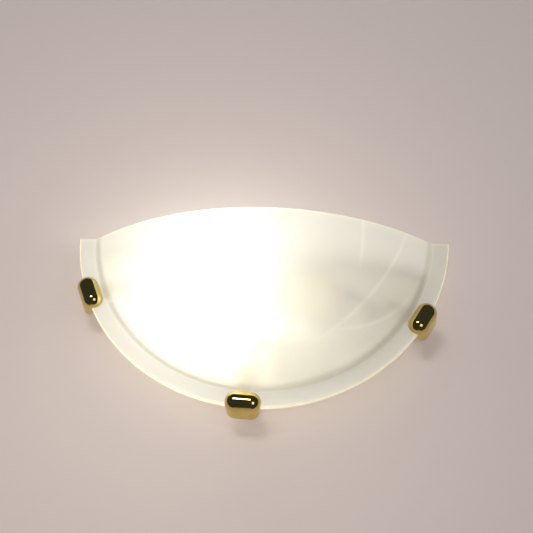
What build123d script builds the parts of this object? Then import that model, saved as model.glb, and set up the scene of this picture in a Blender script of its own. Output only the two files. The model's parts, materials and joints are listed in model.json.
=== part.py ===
"""Half-round glass wall light: a satin glass shade held by three brass clips on a pressed steel pan.

Millimetres and degrees. X runs to the right along the wall, Z runs up, and the room is on the -Y side.
The origin is on the wall, on the back face of the pan, midway between the two fixing holes.
"""

import os
from math import asin, atan2, cos, degrees, pi, radians, sin, sqrt, tan

from build123d import *

# Glass shade: half of a shallow bowl with a flat flange, cut level a little under its centre
glass_radius = 150.0
glass_thickness = 5.0
flange_width = 14.0
flange_gap = 25.0
bulb_glass_clearance = 4.5
glass_root_radius = 6.0
glass_edge_radius = 0.8
glass_cut_drop = 1.5

# Back plate: a pressed half-round pan, hung a few degrees out of level
plate_turn = 4.0
screw_line_drop = 22.0
fixing_hole_pitch = 150.0
fixing_hole_radius = 2.5
plate_thickness = 0.8
pan_rim_inset = 20.0
pan_top_drop = 12.0
pan_top_lip = 8.0
pan_corner_radius = 8.0
pan_bend_radius = 3.0
pan_lip_clearance = 0.3

# Rim clips: a bent steel arm, a clear soft channel and a polished cap, three times
left_clip_angle = -155.0
right_clip_angle = -25.0
bottom_clip_angle = -90.0
arm_width = 12.0
arm_thickness = 1.2
arm_bend_radius = 2.0
arm_foot_inset = 44.0
arm_rise_inset = 17.0
clip_travel = 11.0
pad_base = 3.0
pad_front = 0.8
pad_back = 1.2
pad_lip_overlap = 1.6
arm_lip_length = 14.0
rim_clearance = 0.3
cap_wall = 1.0
cap_length = 28.5
cap_nose_radius = 8.5
cap_end_radius = 8.0
cap_skirt = 12.0
cap_corner_radius = 7.5

# Weld studs, washers and nuts on the pan
stud_radius = 2.0
stud_length = 8.0
stud_tip = 0.4
stud_ring_inset = 26.0
slot_clearance = 0.15
thread_clearance = 0.05
washer_radius = 4.5
washer_thickness = 0.8
nut_flats = 7.0
nut_thickness = 3.2

# Lamp bracket and the hollow threaded tube that carries the lampholder
lamp_drop = 50.0
lamp_height = 35.0
bracket_face = 70.0
bracket_width = 25.0
bracket_thickness = 1.5
bracket_bend_radius = 2.5
bracket_foot = 28.0
bracket_top = 50.0
bracket_corner_radius = 7.0
bracket_stud_pitch = 12.0
bracket_stud_inset = 9.0
tube_radius = 5.0
tube_bore = 3.6
tube_length = 17.0
tube_proud = 6.0
lock_nut_flats = 14.0
lock_nut_thickness = 2.5

# Lampholder
holder_radius = 20.0
holder_mouth_radius = 18.6
holder_wall = 2.0
skirt_length = 27.0
skirt_rim = 3.0
skirt_groove = 0.8
skirt_grooves = 24
back_cap_length = 17.0
back_cap_round = 7.0
holder_neck_radius = 8.0
holder_neck_length = 4.0
holder_joint_gap = 0.2
insert_thickness = 9.0
insert_clearance = 1.0
insert_post_radius = 5.5
insert_post_length = 3.0
contact_width = 5.0
contact_thickness = 0.5
contact_lift = 2.2
thread_shell_wall = 0.5
thread_shell_length = 20.0

# Lamp: pear-shaped, with a screw cap
bulb_radius = 27.5
bulb_neck_radius = 15.5
bulb_neck_length = 39.0
bulb_wall = 0.8
bulb_tail_radius = 12.3
bulb_tail_length = 9.0
lamp_length = 100.0
lamp_cap_radius = 13.2
lamp_cap_length = 22.0
lamp_cap_wall = 0.4
lamp_cap_insulator_length = 3.0
lamp_contact_radius = 4.6
lamp_contact_length = 1.2
screw_fit = 0.3
stem_radius = 3.6
stem_flare_radius = 9.5
stem_flare_length = 9.0
stem_length = 30.0
stem_rod_radius = 1.2
stem_rod_length = 14.0
filament_wire_radius = 0.35
filament_half_width = 12.0
filament_reach = 13.0
filament_spread = 2.2

# Terminal block, three ways, and its brass tubes and screws
block_side_place = 24.5
block_inset = 35.0
way_pitch = 12.0
way_width = 9.6
way_length = 17.0
way_height = 10.5
way_bore_height = 6.2
way_bore_radius = 2.9
tower_radius = 3.6
tower_height = 15.0
tower_inset = 4.4
web_width = 6.0
web_height = 4.5
terminal_tube_wall = 1.0
terminal_tube_length = 15.0
terminal_screw_radius = 1.5
terminal_screw_length = 6.5
terminal_slot_width = 0.8
terminal_slot_depth = 1.0
block_screw_radius = 1.25
block_screw_head_radius = 2.3
block_screw_head = 1.8
moulding_edge = 0.5

# Earth stud, its tag and the cable grommet
earth_side_place = 64.0
earth_inset = 32.0
tag_thickness = 0.8
tag_ring_radius = 4.6
tag_neck = 3.2
tag_barrel_radius = 1.9
tag_barrel_length = 6.0
tag_reach = 10.0
tag_angle = 205.0
grommet_side_place = 4.0
grommet_inset = 54.0
grommet_bore = 4.0
grommet_hole_radius = 6.0
grommet_flange_radius = 8.0
grommet_flange = 2.2
grommet_height = 5.0

# Inner leads
wire_radius = 1.1
wire_fit = 0.15
wire_pair_offset = 1.35
wire_grip = 6.0

# Working values
overrun = 1.0
grip_clearance = 0.3

turn = radians(plate_turn)
glass_centre = (screw_line_drop * sin(turn), 0, screw_line_drop * cos(turn))
level = Plane(origin=glass_centre, x_dir=(1, 0, 0), z_dir=(0, -1, 0))
plate = Plane(origin=glass_centre, x_dir=(cos(turn), 0, -sin(turn)), z_dir=(0, -1, 0))
out_axis = Axis(origin=glass_centre, direction=(0, -1, 0))

# Places on the pan, all kept from its rim
pan_radius = glass_radius - pan_rim_inset
stud_ring_radius = pan_radius - stud_ring_inset
arm_foot_start = pan_radius - arm_foot_inset
arm_rise_radius = pan_radius - arm_rise_inset
earth_place = (earth_side_place, earth_inset - pan_radius)
block_place = (block_side_place, block_inset - pan_radius)
grommet_place = (grommet_side_place, grommet_inset - pan_radius)
clip_angles = {"left": left_clip_angle, "right": right_clip_angle, "bottom": bottom_clip_angle}

# Lamp's places along its axis, from the bracket's face to the bulb
neck_end = bracket_face - lock_nut_thickness
cap_crown = neck_end - holder_neck_length
holder_joint = cap_crown - back_cap_length
holder_mouth = holder_joint - skirt_length
insert_front = holder_joint - insert_post_length
post_face = insert_front - insert_post_length
lamp_end = post_face - contact_lift - grip_clearance
lamp_tip = lamp_end - lamp_length
bulb_centre = lamp_tip + bulb_radius

# The bowl's sphere passes the flange's root and clears the bulb
flange_front = flange_gap + glass_thickness
dome_base_radius = glass_radius - flange_width
bulb_rise = lamp_height - flange_front
bulb_reach = bulb_radius + glass_thickness + bulb_glass_clearance
bulb_square = bulb_reach**2 - bulb_rise**2
bowl_half = (dome_base_radius**2 + bulb_square - bulb_centre**2 - lamp_drop**2) / 2
bowl_slope = bulb_rise * sqrt(bowl_half**2 - bulb_square * dome_base_radius**2)
dome_radius = (bowl_half * bulb_reach - bowl_slope) / bulb_square
dome_centre = flange_front - sqrt(dome_radius**2 - dome_base_radius**2)


def keep(piece, name):
    """Label a finished piece and write it as its own STEP file."""
    piece.part.label = name
    export_step(piece.part, f"parts/{name}.step")


def radial_plane(face, angle):
    """Plane through the glass axis: its x runs outwards at the angle, its y runs out of the wall."""
    outward = face.x_dir * cos(radians(angle)) + face.y_dir * sin(radians(angle))
    return Plane(origin=face.origin, x_dir=outward, z_dir=outward.cross(face.z_dir))


def polar_place(radius, angle):
    """Place on the plate at a radius and angle from the glass axis."""
    return (radius * cos(radians(angle)), radius * sin(radians(angle)))


os.makedirs("parts", exist_ok=True)

# Glass shade
inner_dome_radius = dome_radius - glass_thickness
inner_base_radius = sqrt(inner_dome_radius**2 - (flange_gap - dome_centre) ** 2)
outer_open = degrees(asin(dome_base_radius / dome_radius))
inner_open = degrees(asin(inner_base_radius / inner_dome_radius))
with BuildPart() as glass_shade:
    with BuildSketch(radial_plane(level, 0)):
        with BuildLine():
            outer_arc = CenterArc((0, dome_centre), dome_radius, 90 - outer_open, outer_open)
            inner_arc = CenterArc((0, dome_centre), inner_dome_radius, 90 - inner_open, inner_open)
            Polyline(
                outer_arc @ 0,
                (glass_radius, flange_front),
                (glass_radius, flange_gap),
                inner_arc @ 0,
            )
            Line(inner_arc @ 1, outer_arc @ 1)
        make_face()
        inner_root = vertices().sort_by_distance((inner_base_radius, flange_gap))[0]
        fillet(inner_root, glass_root_radius + glass_thickness)
        outer_root = vertices().sort_by_distance((dome_base_radius, flange_front))[0]
        fillet(outer_root, glass_root_radius)
        fillet(vertices().group_by(Axis.X)[-1], glass_edge_radius)
    revolve(axis=out_axis)
    split(bisect_by=Plane(level.origin - level.y_dir * glass_cut_drop, z_dir=level.y_dir), keep=Keep.BOTTOM)
keep(glass_shade, "glass_shade")

# Back plate
arm_shelf = flange_gap - pad_back - arm_thickness
pan_depth = arm_shelf - pan_lip_clearance
fixing_places = [(side * fixing_hole_pitch / 2, -screw_line_drop) for side in (-1, 1)]
with BuildPart() as back_plate:
    with BuildSketch(plate):
        Circle(pan_radius)
        with Locations((0, -pan_top_drop)):
            Rectangle(2 * pan_radius, pan_radius, align=(Align.CENTER, Align.MAX), mode=Mode.INTERSECT)
        fillet(vertices(), pan_corner_radius)
    extrude(amount=pan_depth)
    fillet(faces().sort_by(out_axis)[0].edges(), pan_bend_radius)
    offset(amount=-plate_thickness, openings=faces().sort_by(out_axis)[-1])
    with BuildSketch(plate.offset(pan_top_lip)):
        with Locations((0, -pan_top_drop - pan_corner_radius)):
            Rectangle(2 * pan_radius, pan_radius, align=(Align.CENTER, Align.MIN))
    extrude(amount=pan_depth, mode=Mode.SUBTRACT)
    with BuildSketch(plate):
        with Locations(*fixing_places):
            Circle(fixing_hole_radius)
        with Locations(grommet_place):
            Circle(grommet_hole_radius)
        with Locations((block_place[0], block_place[1] + way_pitch / 2)):
            Circle(block_screw_radius + thread_clearance)
    extrude(amount=plate_thickness + overrun, both=True, mode=Mode.SUBTRACT)
keep(back_plate, "back_plate")

# Studs, washers and nuts: one for each clip, two for the bracket and one for the earth tag
clip_places = [polar_place(stud_ring_radius, angle) for angle in clip_angles.values()]
bracket_stud = bracket_face - bracket_foot + bracket_stud_inset
bracket_places = [(bracket_stud + step * bracket_stud_pitch, -lamp_drop) for step in (0, 1)]
clamped_stacks = [(place, arm_thickness) for place in clip_places]
clamped_stacks += [(place, bracket_thickness) for place in bracket_places]
clamped_stacks += [(earth_place, tag_thickness)]
with BuildPart() as plate_studs:
    with BuildSketch(plate.offset(plate_thickness)):
        with Locations(*[place for place, clamped in clamped_stacks]):
            Circle(stud_radius)
    extrude(amount=stud_length)
    chamfer(edges().group_by(out_axis)[-1], stud_tip)
keep(plate_studs, "plate_studs")

with BuildPart() as stud_washers:
    for place, clamped in clamped_stacks:
        with BuildSketch(plate.offset(plate_thickness + clamped)):
            with Locations(place):
                Circle(washer_radius)
                Circle(stud_radius + slot_clearance, mode=Mode.SUBTRACT)
        extrude(amount=washer_thickness)
keep(stud_washers, "stud_washers")

with BuildPart() as stud_nuts:
    for place, clamped in clamped_stacks:
        nut_seat = plate_thickness + clamped + washer_thickness
        with BuildSketch(plate.offset(nut_seat)):
            with Locations(place):
                RegularPolygon(nut_flats / 2, 6, major_radius=False)
        extrude(amount=nut_thickness)
        with BuildSketch(plate.offset(nut_seat)):
            with Locations(place):
                Circle(stud_radius + thread_clearance)
        extrude(amount=nut_thickness, mode=Mode.SUBTRACT)
keep(stud_nuts, "stud_nuts")

# Rim clips
pad_rim_radius = glass_radius + rim_clearance
arm_rim_radius = pad_rim_radius + pad_base
cap_rim_radius = arm_rim_radius + arm_thickness + cap_wall
arm_top = flange_front + pad_front + arm_thickness
nose_centre_radius = cap_rim_radius - cap_nose_radius
nose_height = flange_front
cap_edge = nose_centre_radius - cap_nose_radius
cap_floor = nose_height - cap_skirt
cap_height = cap_skirt + cap_nose_radius + overrun
slot_start = stud_ring_radius - clip_travel
pad_corner_radius = arm_bend_radius - arm_thickness + slot_clearance


def cap_form(section, inset):
    """U-shaped bar with rounded ends: the cap's outside at no inset, and its hollow at one wall."""
    radius = cap_nose_radius - inset
    base = cap_floor - overrun * (inset > 0)
    with BuildPart() as form:
        with BuildSketch(section):
            with BuildLine():
                nose = CenterArc((nose_centre_radius, nose_height), radius, 0, 180)
                Polyline(
                    nose @ 0,
                    (nose_centre_radius + radius, base),
                    (nose_centre_radius - radius, base),
                    nose @ 1,
                )
            make_face()
        extrude(amount=cap_length / 2 - inset, both=True)
        ends = faces().filter_by(Axis(origin=section.origin, direction=section.z_dir))
        rounded = [edge for end in ends for edge in end.edges().sort_by(out_axis)[1:]]
        fillet(rounded, cap_end_radius - inset)
    return form.part


for side, angle in clip_angles.items():
    section = radial_plane(plate, angle)

    # Arm: a slotted foot, a step over the pan's lip, and a hook round the rim
    with BuildPart() as clip_arm:
        with BuildSketch(section):
            with BuildLine():
                FilletPolyline(
                    (arm_foot_start, plate_thickness),
                    (arm_rise_radius, plate_thickness),
                    (arm_rise_radius, arm_shelf),
                    (arm_rim_radius + arm_thickness, arm_shelf),
                    (arm_rim_radius + arm_thickness, arm_top),
                    (arm_rim_radius + arm_thickness - arm_lip_length, arm_top),
                    radius=arm_bend_radius,
                )
                offset(amount=arm_thickness, side=Side.LEFT)
            make_face()
        extrude(amount=arm_width / 2, both=True)
        with BuildSketch(plate):
            with Locations(Location((0, 0, 0), (0, 0, angle))):
                with Locations((slot_start + clip_travel / 2, 0)):
                    SlotCenterToCenter(clip_travel, 2 * (stud_radius + slot_clearance))
        extrude(amount=plate_thickness + arm_thickness + overrun, mode=Mode.SUBTRACT)
    keep(clip_arm, f"clip_arm_{side}")

    # Pad: a soft channel between the hook and the glass
    with BuildPart() as clip_pad:
        with BuildSketch(section):
            with BuildLine():
                Polyline(
                    (cap_edge + grip_clearance, flange_front),
                    (cap_edge + grip_clearance, flange_front + pad_front),
                    (arm_rim_radius, flange_front + pad_front),
                    (arm_rim_radius, flange_gap - pad_back),
                    (cap_edge + pad_lip_overlap, flange_gap - pad_back),
                    (cap_edge + pad_lip_overlap, flange_gap),
                    (pad_rim_radius, flange_gap),
                    (pad_rim_radius, flange_front),
                    close=True,
                )
            make_face()
            fillet(vertices().group_by(Axis.X)[-1], pad_corner_radius)
        extrude(amount=arm_width / 2, both=True)
    keep(clip_pad, f"clip_pad_{side}")

    # Cap: a drawn shell with a straight skirt outside the rim and a round nose over the flange
    outside = cap_form(section, 0)
    hollow = cap_form(section, cap_wall)
    with BuildPart() as clip_cap:
        add(outside)
        add(hollow, mode=Mode.SUBTRACT)
        with BuildSketch(section):
            with BuildLine():
                Polyline(
                    (cap_edge - overrun, cap_floor - overrun),
                    (pad_rim_radius, cap_floor - overrun),
                    (pad_rim_radius, flange_front + pad_front),
                    (cap_edge - overrun, flange_front + pad_front),
                    close=True,
                )
            make_face()
        extrude(amount=cap_length, both=True, mode=Mode.SUBTRACT)
        with BuildSketch(Plane(origin=section.origin, x_dir=-section.z_dir, z_dir=section.x_dir)):
            with Locations((0, cap_floor)):
                Rectangle(cap_length, cap_height, align=(Align.CENTER, Align.MIN))
            fillet(vertices().group_by(Axis.Y)[0], cap_corner_radius)
        extrude(amount=cap_rim_radius + overrun, mode=Mode.INTERSECT)
    keep(clip_cap, f"clip_cap_{side}")

# Lamp bracket
lamp_centre = plate.from_local_coords((0, -lamp_drop, lamp_height))
lamp_section = Plane(origin=lamp_centre, x_dir=plate.x_dir, z_dir=-plate.y_dir)
lamp_axis = Axis(origin=lamp_centre, direction=plate.x_dir)


def lamp_face(along):
    """Plane square to the lamp's axis, at a distance along it."""
    origin = lamp_axis.position + lamp_axis.direction * along
    return Plane(origin=origin, x_dir=plate.y_dir, z_dir=plate.x_dir)


bracket_back = bracket_face + bracket_thickness
with BuildPart() as lamp_bracket:
    with BuildSketch(lamp_section):
        with BuildLine():
            FilletPolyline(
                (bracket_face - bracket_foot, plate_thickness - lamp_height),
                (bracket_back, plate_thickness - lamp_height),
                (bracket_back, bracket_top - lamp_height),
                radius=bracket_bend_radius,
            )
            offset(amount=bracket_thickness, side=Side.LEFT)
        make_face()
    extrude(amount=bracket_width / 2, both=True)
    fillet(edges().filter_by(lamp_axis).group_by(out_axis)[-1], bracket_corner_radius)
    with BuildSketch(lamp_face(bracket_face)):
        Circle(tube_radius + slot_clearance)
    extrude(amount=bracket_thickness + overrun, both=True, mode=Mode.SUBTRACT)
    with BuildSketch(plate):
        with Locations(*bracket_places):
            Circle(stud_radius + slot_clearance)
    extrude(amount=plate_thickness + bracket_thickness + overrun, mode=Mode.SUBTRACT)
keep(lamp_bracket, "lamp_bracket")

# Threaded tube and its two lock nuts
tube_end = bracket_back + tube_proud
with BuildPart() as threaded_tube:
    with BuildSketch(lamp_face(tube_end - tube_length)):
        Circle(tube_radius)
        Circle(tube_bore, mode=Mode.SUBTRACT)
    extrude(amount=tube_length)
keep(threaded_tube, "threaded_tube")

with BuildPart() as lock_nuts:
    for seat in (bracket_face - lock_nut_thickness, bracket_back):
        with BuildSketch(lamp_face(seat)):
            RegularPolygon(lock_nut_flats / 2, 6, major_radius=False)
            Circle(tube_radius + thread_clearance, mode=Mode.SUBTRACT)
        extrude(amount=lock_nut_thickness)
keep(lock_nuts, "lock_nuts")

# Lampholder: back cap, front skirt, insert, screw shell and centre contact
with BuildPart() as lampholder_back:
    with BuildSketch(lamp_section):
        with BuildLine():
            Polyline(
                (holder_joint, holder_radius),
                (cap_crown, holder_radius),
                (cap_crown, holder_neck_radius),
                (neck_end, holder_neck_radius),
                (neck_end, tube_radius + thread_clearance),
                (cap_crown - holder_wall, tube_radius + thread_clearance),
                (cap_crown - holder_wall, holder_radius - holder_wall),
                (holder_joint, holder_radius - holder_wall),
                close=True,
            )
        make_face()
        fillet(vertices().sort_by_distance((cap_crown, holder_radius))[0], back_cap_round)
        inner_crown = (cap_crown - holder_wall, holder_radius - holder_wall)
        fillet(vertices().sort_by_distance(inner_crown)[0], back_cap_round - holder_wall)
    revolve(axis=lamp_axis)
keep(lampholder_back, "lampholder_back")

skirt_back = holder_joint - holder_joint_gap
with BuildPart() as lampholder_skirt:
    with BuildSketch(lamp_section):
        with BuildLine():
            Polyline(
                (skirt_back, holder_radius),
                (holder_mouth + skirt_rim, holder_mouth_radius),
                (holder_mouth, holder_mouth_radius),
                (holder_mouth, holder_mouth_radius - holder_wall),
                (skirt_back, holder_radius - holder_wall),
                close=True,
            )
        make_face()
        fillet(vertices().group_by(Axis.X)[0], moulding_edge)
    revolve(axis=lamp_axis)
    with BuildSketch(lamp_face(skirt_back)):
        with PolarLocations(holder_radius, skirt_grooves):
            Circle(skirt_groove)
    extrude(amount=-skirt_length / 2, mode=Mode.SUBTRACT)
keep(lampholder_skirt, "lampholder_skirt")

insert_back = insert_front + insert_thickness
insert_radius = holder_radius - holder_wall - insert_clearance
shell_radius = lamp_cap_radius + screw_fit
with BuildPart() as lampholder_insert:
    with BuildSketch(lamp_face(insert_front)):
        Circle(insert_radius)
    extrude(amount=insert_thickness)
    with BuildSketch(lamp_face(insert_front)):
        Circle(insert_post_radius)
    extrude(amount=-insert_post_length)
    chamfer(edges().group_by(lamp_axis)[-1], moulding_edge)
keep(lampholder_insert, "lampholder_insert")

with BuildPart() as lampholder_screw_shell:
    with BuildSketch(lamp_section):
        with BuildLine():
            Polyline(
                (insert_front, insert_post_radius + screw_fit),
                (insert_front, shell_radius + thread_shell_wall),
                (insert_front - thread_shell_length, shell_radius + thread_shell_wall),
                (insert_front - thread_shell_length, shell_radius),
                (insert_front - thread_shell_wall, shell_radius),
                (insert_front - thread_shell_wall, insert_post_radius + screw_fit),
                close=True,
            )
        make_face()
    revolve(axis=lamp_axis)
keep(lampholder_screw_shell, "lampholder_screw_shell")

with BuildPart() as lampholder_contact:
    with BuildSketch(lamp_section):
        with BuildLine():
            Polyline(
                (post_face, -insert_post_radius),
                (post_face, -insert_post_radius / 2),
                (post_face - contact_lift, 0),
                (post_face - contact_lift, insert_post_radius / 2),
                (post_face - contact_lift + contact_thickness, insert_post_radius / 2),
                (post_face - contact_lift + contact_thickness, 0),
                (post_face, contact_thickness - insert_post_radius / 2),
                close=True,
            )
        make_face()
    extrude(amount=contact_width / 2, both=True)
keep(lampholder_contact, "lampholder_contact")

# Lamp: its tip is at the left, its contact presses on the lampholder's centre contact
neck_start = bulb_centre + bulb_neck_length
lamp_cap_back = lamp_end - lamp_contact_length - lamp_cap_insulator_length
lamp_cap_mouth = lamp_cap_back - lamp_cap_length
blend_square = bulb_neck_length**2 + bulb_neck_radius**2 - bulb_radius**2
blend_radius = blend_square / (2 * (bulb_radius - bulb_neck_radius))
blend_angle = degrees(atan2(bulb_neck_radius + blend_radius, bulb_neck_length))


def bulb_edge(inset):
    """Half outline of the bulb, from its tip to its tail: the outside at no inset."""
    blend_centre = (neck_start, bulb_neck_radius + blend_radius)
    return [
        ((bulb_centre, 0), bulb_radius - inset, blend_angle, 180 - blend_angle),
        (blend_centre, blend_radius + inset, 180 + blend_angle, 90 - blend_angle),
    ]


tail_end = neck_start + bulb_tail_length
with BuildPart() as lamp_envelope:
    with BuildSketch(lamp_section):
        with BuildLine():
            tails = []
            for inset in (0, bulb_wall):
                for centre, radius, start, span in bulb_edge(inset):
                    CenterArc(centre, radius, start, span)
                tail = Polyline(
                    (neck_start, bulb_neck_radius - inset),
                    (lamp_cap_mouth, bulb_tail_radius - inset),
                    (tail_end, bulb_tail_radius - inset),
                )
                tails.append(tail @ 1)
            Line(tails[0], tails[1])
            Line((lamp_tip, 0), (lamp_tip + bulb_wall, 0))
        make_face()
    revolve(axis=lamp_axis)
keep(lamp_envelope, "lamp_envelope")

with BuildPart() as lamp_cap:
    with BuildSketch(lamp_section):
        with BuildLine():
            Polyline(
                (lamp_cap_mouth, lamp_cap_radius),
                (lamp_cap_back, lamp_cap_radius),
                (lamp_cap_back, lamp_cap_radius - lamp_cap_wall),
                (lamp_cap_mouth, lamp_cap_radius - lamp_cap_wall),
                close=True,
            )
        make_face()
    revolve(axis=lamp_axis)
keep(lamp_cap, "lamp_cap")

with BuildPart() as lamp_cap_insulator:
    with BuildSketch(lamp_face(lamp_cap_back)):
        Circle(lamp_cap_radius)
    with BuildSketch(lamp_face(lamp_cap_back + lamp_cap_insulator_length)):
        Circle(lamp_contact_radius)
    loft()
keep(lamp_cap_insulator, "lamp_cap_insulator")

with BuildPart() as lamp_contact:
    with BuildSketch(lamp_face(lamp_end - lamp_contact_length)):
        Circle(lamp_contact_radius)
    extrude(amount=lamp_contact_length)
    fillet(edges().group_by(lamp_axis)[-1], lamp_contact_length / 2)
keep(lamp_contact, "lamp_contact")

# Stem inside the bulb, and the filament on its two lead wires
stem_back = tail_end
stem_front = stem_back - stem_length
with BuildPart() as lamp_stem:
    with BuildSketch(lamp_section):
        with BuildLine():
            Polyline(
                (stem_back, 0),
                (stem_back, bulb_tail_radius - bulb_wall - grip_clearance),
                (stem_back - stem_flare_length, stem_flare_radius - stem_radius),
                (stem_front + stem_flare_length, stem_radius),
                (stem_front, stem_radius),
                (stem_front, stem_rod_radius),
                (stem_front - stem_rod_length, stem_rod_radius),
                (stem_front - stem_rod_length, 0),
                close=True,
            )
        make_face()
    revolve(axis=lamp_axis)
keep(lamp_stem, "lamp_stem")

with BuildPart() as lamp_filament:
    with BuildLine(lamp_section) as filament_line:
        filament_root = stem_front - filament_wire_radius
        filament_top = stem_front - filament_reach
        FilletPolyline(
            (filament_root, -filament_spread),
            (filament_top, -filament_half_width),
            (filament_top - stem_rod_radius - filament_spread, 0),
            (filament_top, filament_half_width),
            (filament_root, filament_spread),
            radius=filament_spread,
        )
    with BuildSketch(Plane(origin=filament_line.line @ 0, z_dir=filament_line.line % 0)):
        Circle(filament_wire_radius)
    sweep()
keep(lamp_filament, "lamp_filament")

# Terminal block: three ways side by side, each with a bore and two screw towers
way_places = [(block_place[0], block_place[1] + step * way_pitch) for step in (-1, 0, 1)]
tower_offset = way_length / 2 - tower_inset
tower_places = [(x + side * tower_offset, y) for x, y in way_places for side in (-1, 1)]
bore_floor = plate_thickness + way_bore_height
bore_plane = Plane(
    origin=plate.from_local_coords((block_place[0] - way_length, 0, bore_floor)),
    x_dir=plate.y_dir,
    z_dir=plate.x_dir,
)
with BuildPart() as terminal_block:
    with BuildSketch(plate.offset(plate_thickness)):
        with Locations(*way_places):
            RectangleRounded(way_length, way_width, moulding_edge)
    extrude(amount=way_height)
    with BuildSketch(plate.offset(plate_thickness)):
        with Locations(block_place):
            Rectangle(web_width, 2 * way_pitch)
    extrude(amount=web_height)
    with BuildSketch(plate.offset(plate_thickness)):
        with Locations(*tower_places):
            Circle(tower_radius)
    extrude(amount=tower_height)
    with BuildSketch(plate.offset(bore_floor)):
        with Locations(*tower_places):
            Circle(terminal_screw_radius + grip_clearance)
    extrude(amount=tower_height, mode=Mode.SUBTRACT)
    with BuildSketch(bore_plane):
        with Locations(*[(y, 0) for x, y in way_places]):
            Circle(way_bore_radius)
    extrude(amount=2 * way_length, mode=Mode.SUBTRACT)
    with BuildSketch(plate):
        with Locations((block_place[0], block_place[1] + way_pitch / 2)):
            Circle(block_screw_radius + slot_clearance)
    extrude(amount=tower_height, mode=Mode.SUBTRACT)
    with BuildSketch(plate.offset(plate_thickness + web_height)):
        with Locations((block_place[0], block_place[1] + way_pitch / 2)):
            Circle(block_screw_head_radius + grip_clearance)
    extrude(amount=tower_height, mode=Mode.SUBTRACT)
keep(terminal_block, "terminal_block")

terminal_tube_radius = way_bore_radius - slot_clearance
terminal_tube_bore = terminal_tube_radius - terminal_tube_wall
tube_plane = Plane(
    origin=plate.from_local_coords((block_place[0] - terminal_tube_length / 2, 0, bore_floor)),
    x_dir=plate.y_dir,
    z_dir=plate.x_dir,
)
with BuildPart() as terminal_tubes:
    with BuildSketch(tube_plane):
        with Locations(*[(y, 0) for x, y in way_places]):
            Circle(terminal_tube_radius)
            Circle(terminal_tube_bore, mode=Mode.SUBTRACT)
    extrude(amount=terminal_tube_length)
    with BuildSketch(plate.offset(bore_floor)):
        with Locations(*tower_places):
            Circle(terminal_screw_radius + thread_clearance)
    extrude(amount=tower_height, mode=Mode.SUBTRACT)
keep(terminal_tubes, "terminal_tubes")

screw_seat = bore_floor + wire_radius + wire_fit
with BuildPart() as terminal_screws:
    with BuildSketch(plate.offset(screw_seat)):
        with Locations(*tower_places):
            Circle(terminal_screw_radius)
    extrude(amount=terminal_screw_length)
    with BuildSketch(plate.offset(screw_seat + terminal_screw_length - terminal_slot_depth)):
        with Locations(*tower_places):
            Rectangle(terminal_slot_width, 2 * tower_radius)
    extrude(amount=tower_height, mode=Mode.SUBTRACT)
keep(terminal_screws, "terminal_screws")

with BuildPart() as block_screw:
    with BuildSketch(plate):
        with Locations((block_place[0], block_place[1] + way_pitch / 2)):
            Circle(block_screw_radius)
    extrude(amount=plate_thickness + web_height)
    with BuildSketch(plate.offset(plate_thickness + web_height)):
        with Locations((block_place[0], block_place[1] + way_pitch / 2)):
            Circle(block_screw_head_radius)
    extrude(amount=block_screw_head)
    fillet(edges().group_by(out_axis)[-1], block_screw_head / 2)
keep(block_screw, "block_screw")

# Earth tag: a ring on the stud with a crimp barrel
tag_turn = radians(tag_angle)
tag_end = (earth_place[0] + tag_reach * cos(tag_turn), earth_place[1] + tag_reach * sin(tag_turn))
barrel_height = plate_thickness + tag_barrel_radius
barrel_plane = Plane(
    origin=plate.from_local_coords((*tag_end, barrel_height)),
    x_dir=plate.z_dir,
    z_dir=plate.x_dir * cos(tag_turn) + plate.y_dir * sin(tag_turn),
)
with BuildPart() as earth_tag:
    with BuildSketch(plate.offset(plate_thickness)):
        with Locations(earth_place):
            Circle(tag_ring_radius)
        with Locations(Location((*earth_place, 0), (0, 0, tag_angle))):
            Rectangle(tag_reach + tag_neck, tag_neck, align=(Align.MIN, Align.CENTER))
        with Locations(earth_place):
            Circle(stud_radius + slot_clearance, mode=Mode.SUBTRACT)
    extrude(amount=tag_thickness)
    with BuildSketch(barrel_plane):
        Circle(tag_barrel_radius)
    extrude(amount=tag_barrel_length)
    with BuildSketch(barrel_plane):
        Circle(wire_radius + thread_clearance)
    extrude(amount=tag_barrel_length + overrun, both=True, mode=Mode.SUBTRACT)
keep(earth_tag, "earth_tag")

# Cable grommet, flush with the wall behind
with BuildPart() as cable_grommet:
    grommet_section = Plane(
        origin=plate.from_local_coords((*grommet_place, 0)), x_dir=plate.x_dir, z_dir=-plate.y_dir
    )
    with BuildSketch(grommet_section):
        with BuildLine():
            Polyline(
                (grommet_bore, 0),
                (grommet_hole_radius - thread_clearance, 0),
                (grommet_hole_radius - thread_clearance, plate_thickness),
                (grommet_flange_radius, plate_thickness),
                (grommet_flange_radius, plate_thickness + grommet_flange),
                (grommet_hole_radius, grommet_height),
                (grommet_bore, grommet_height),
                close=True,
            )
        make_face()
    revolve(axis=Axis(origin=grommet_section.origin, direction=plate.z_dir))
keep(cable_grommet, "cable_grommet")

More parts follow.
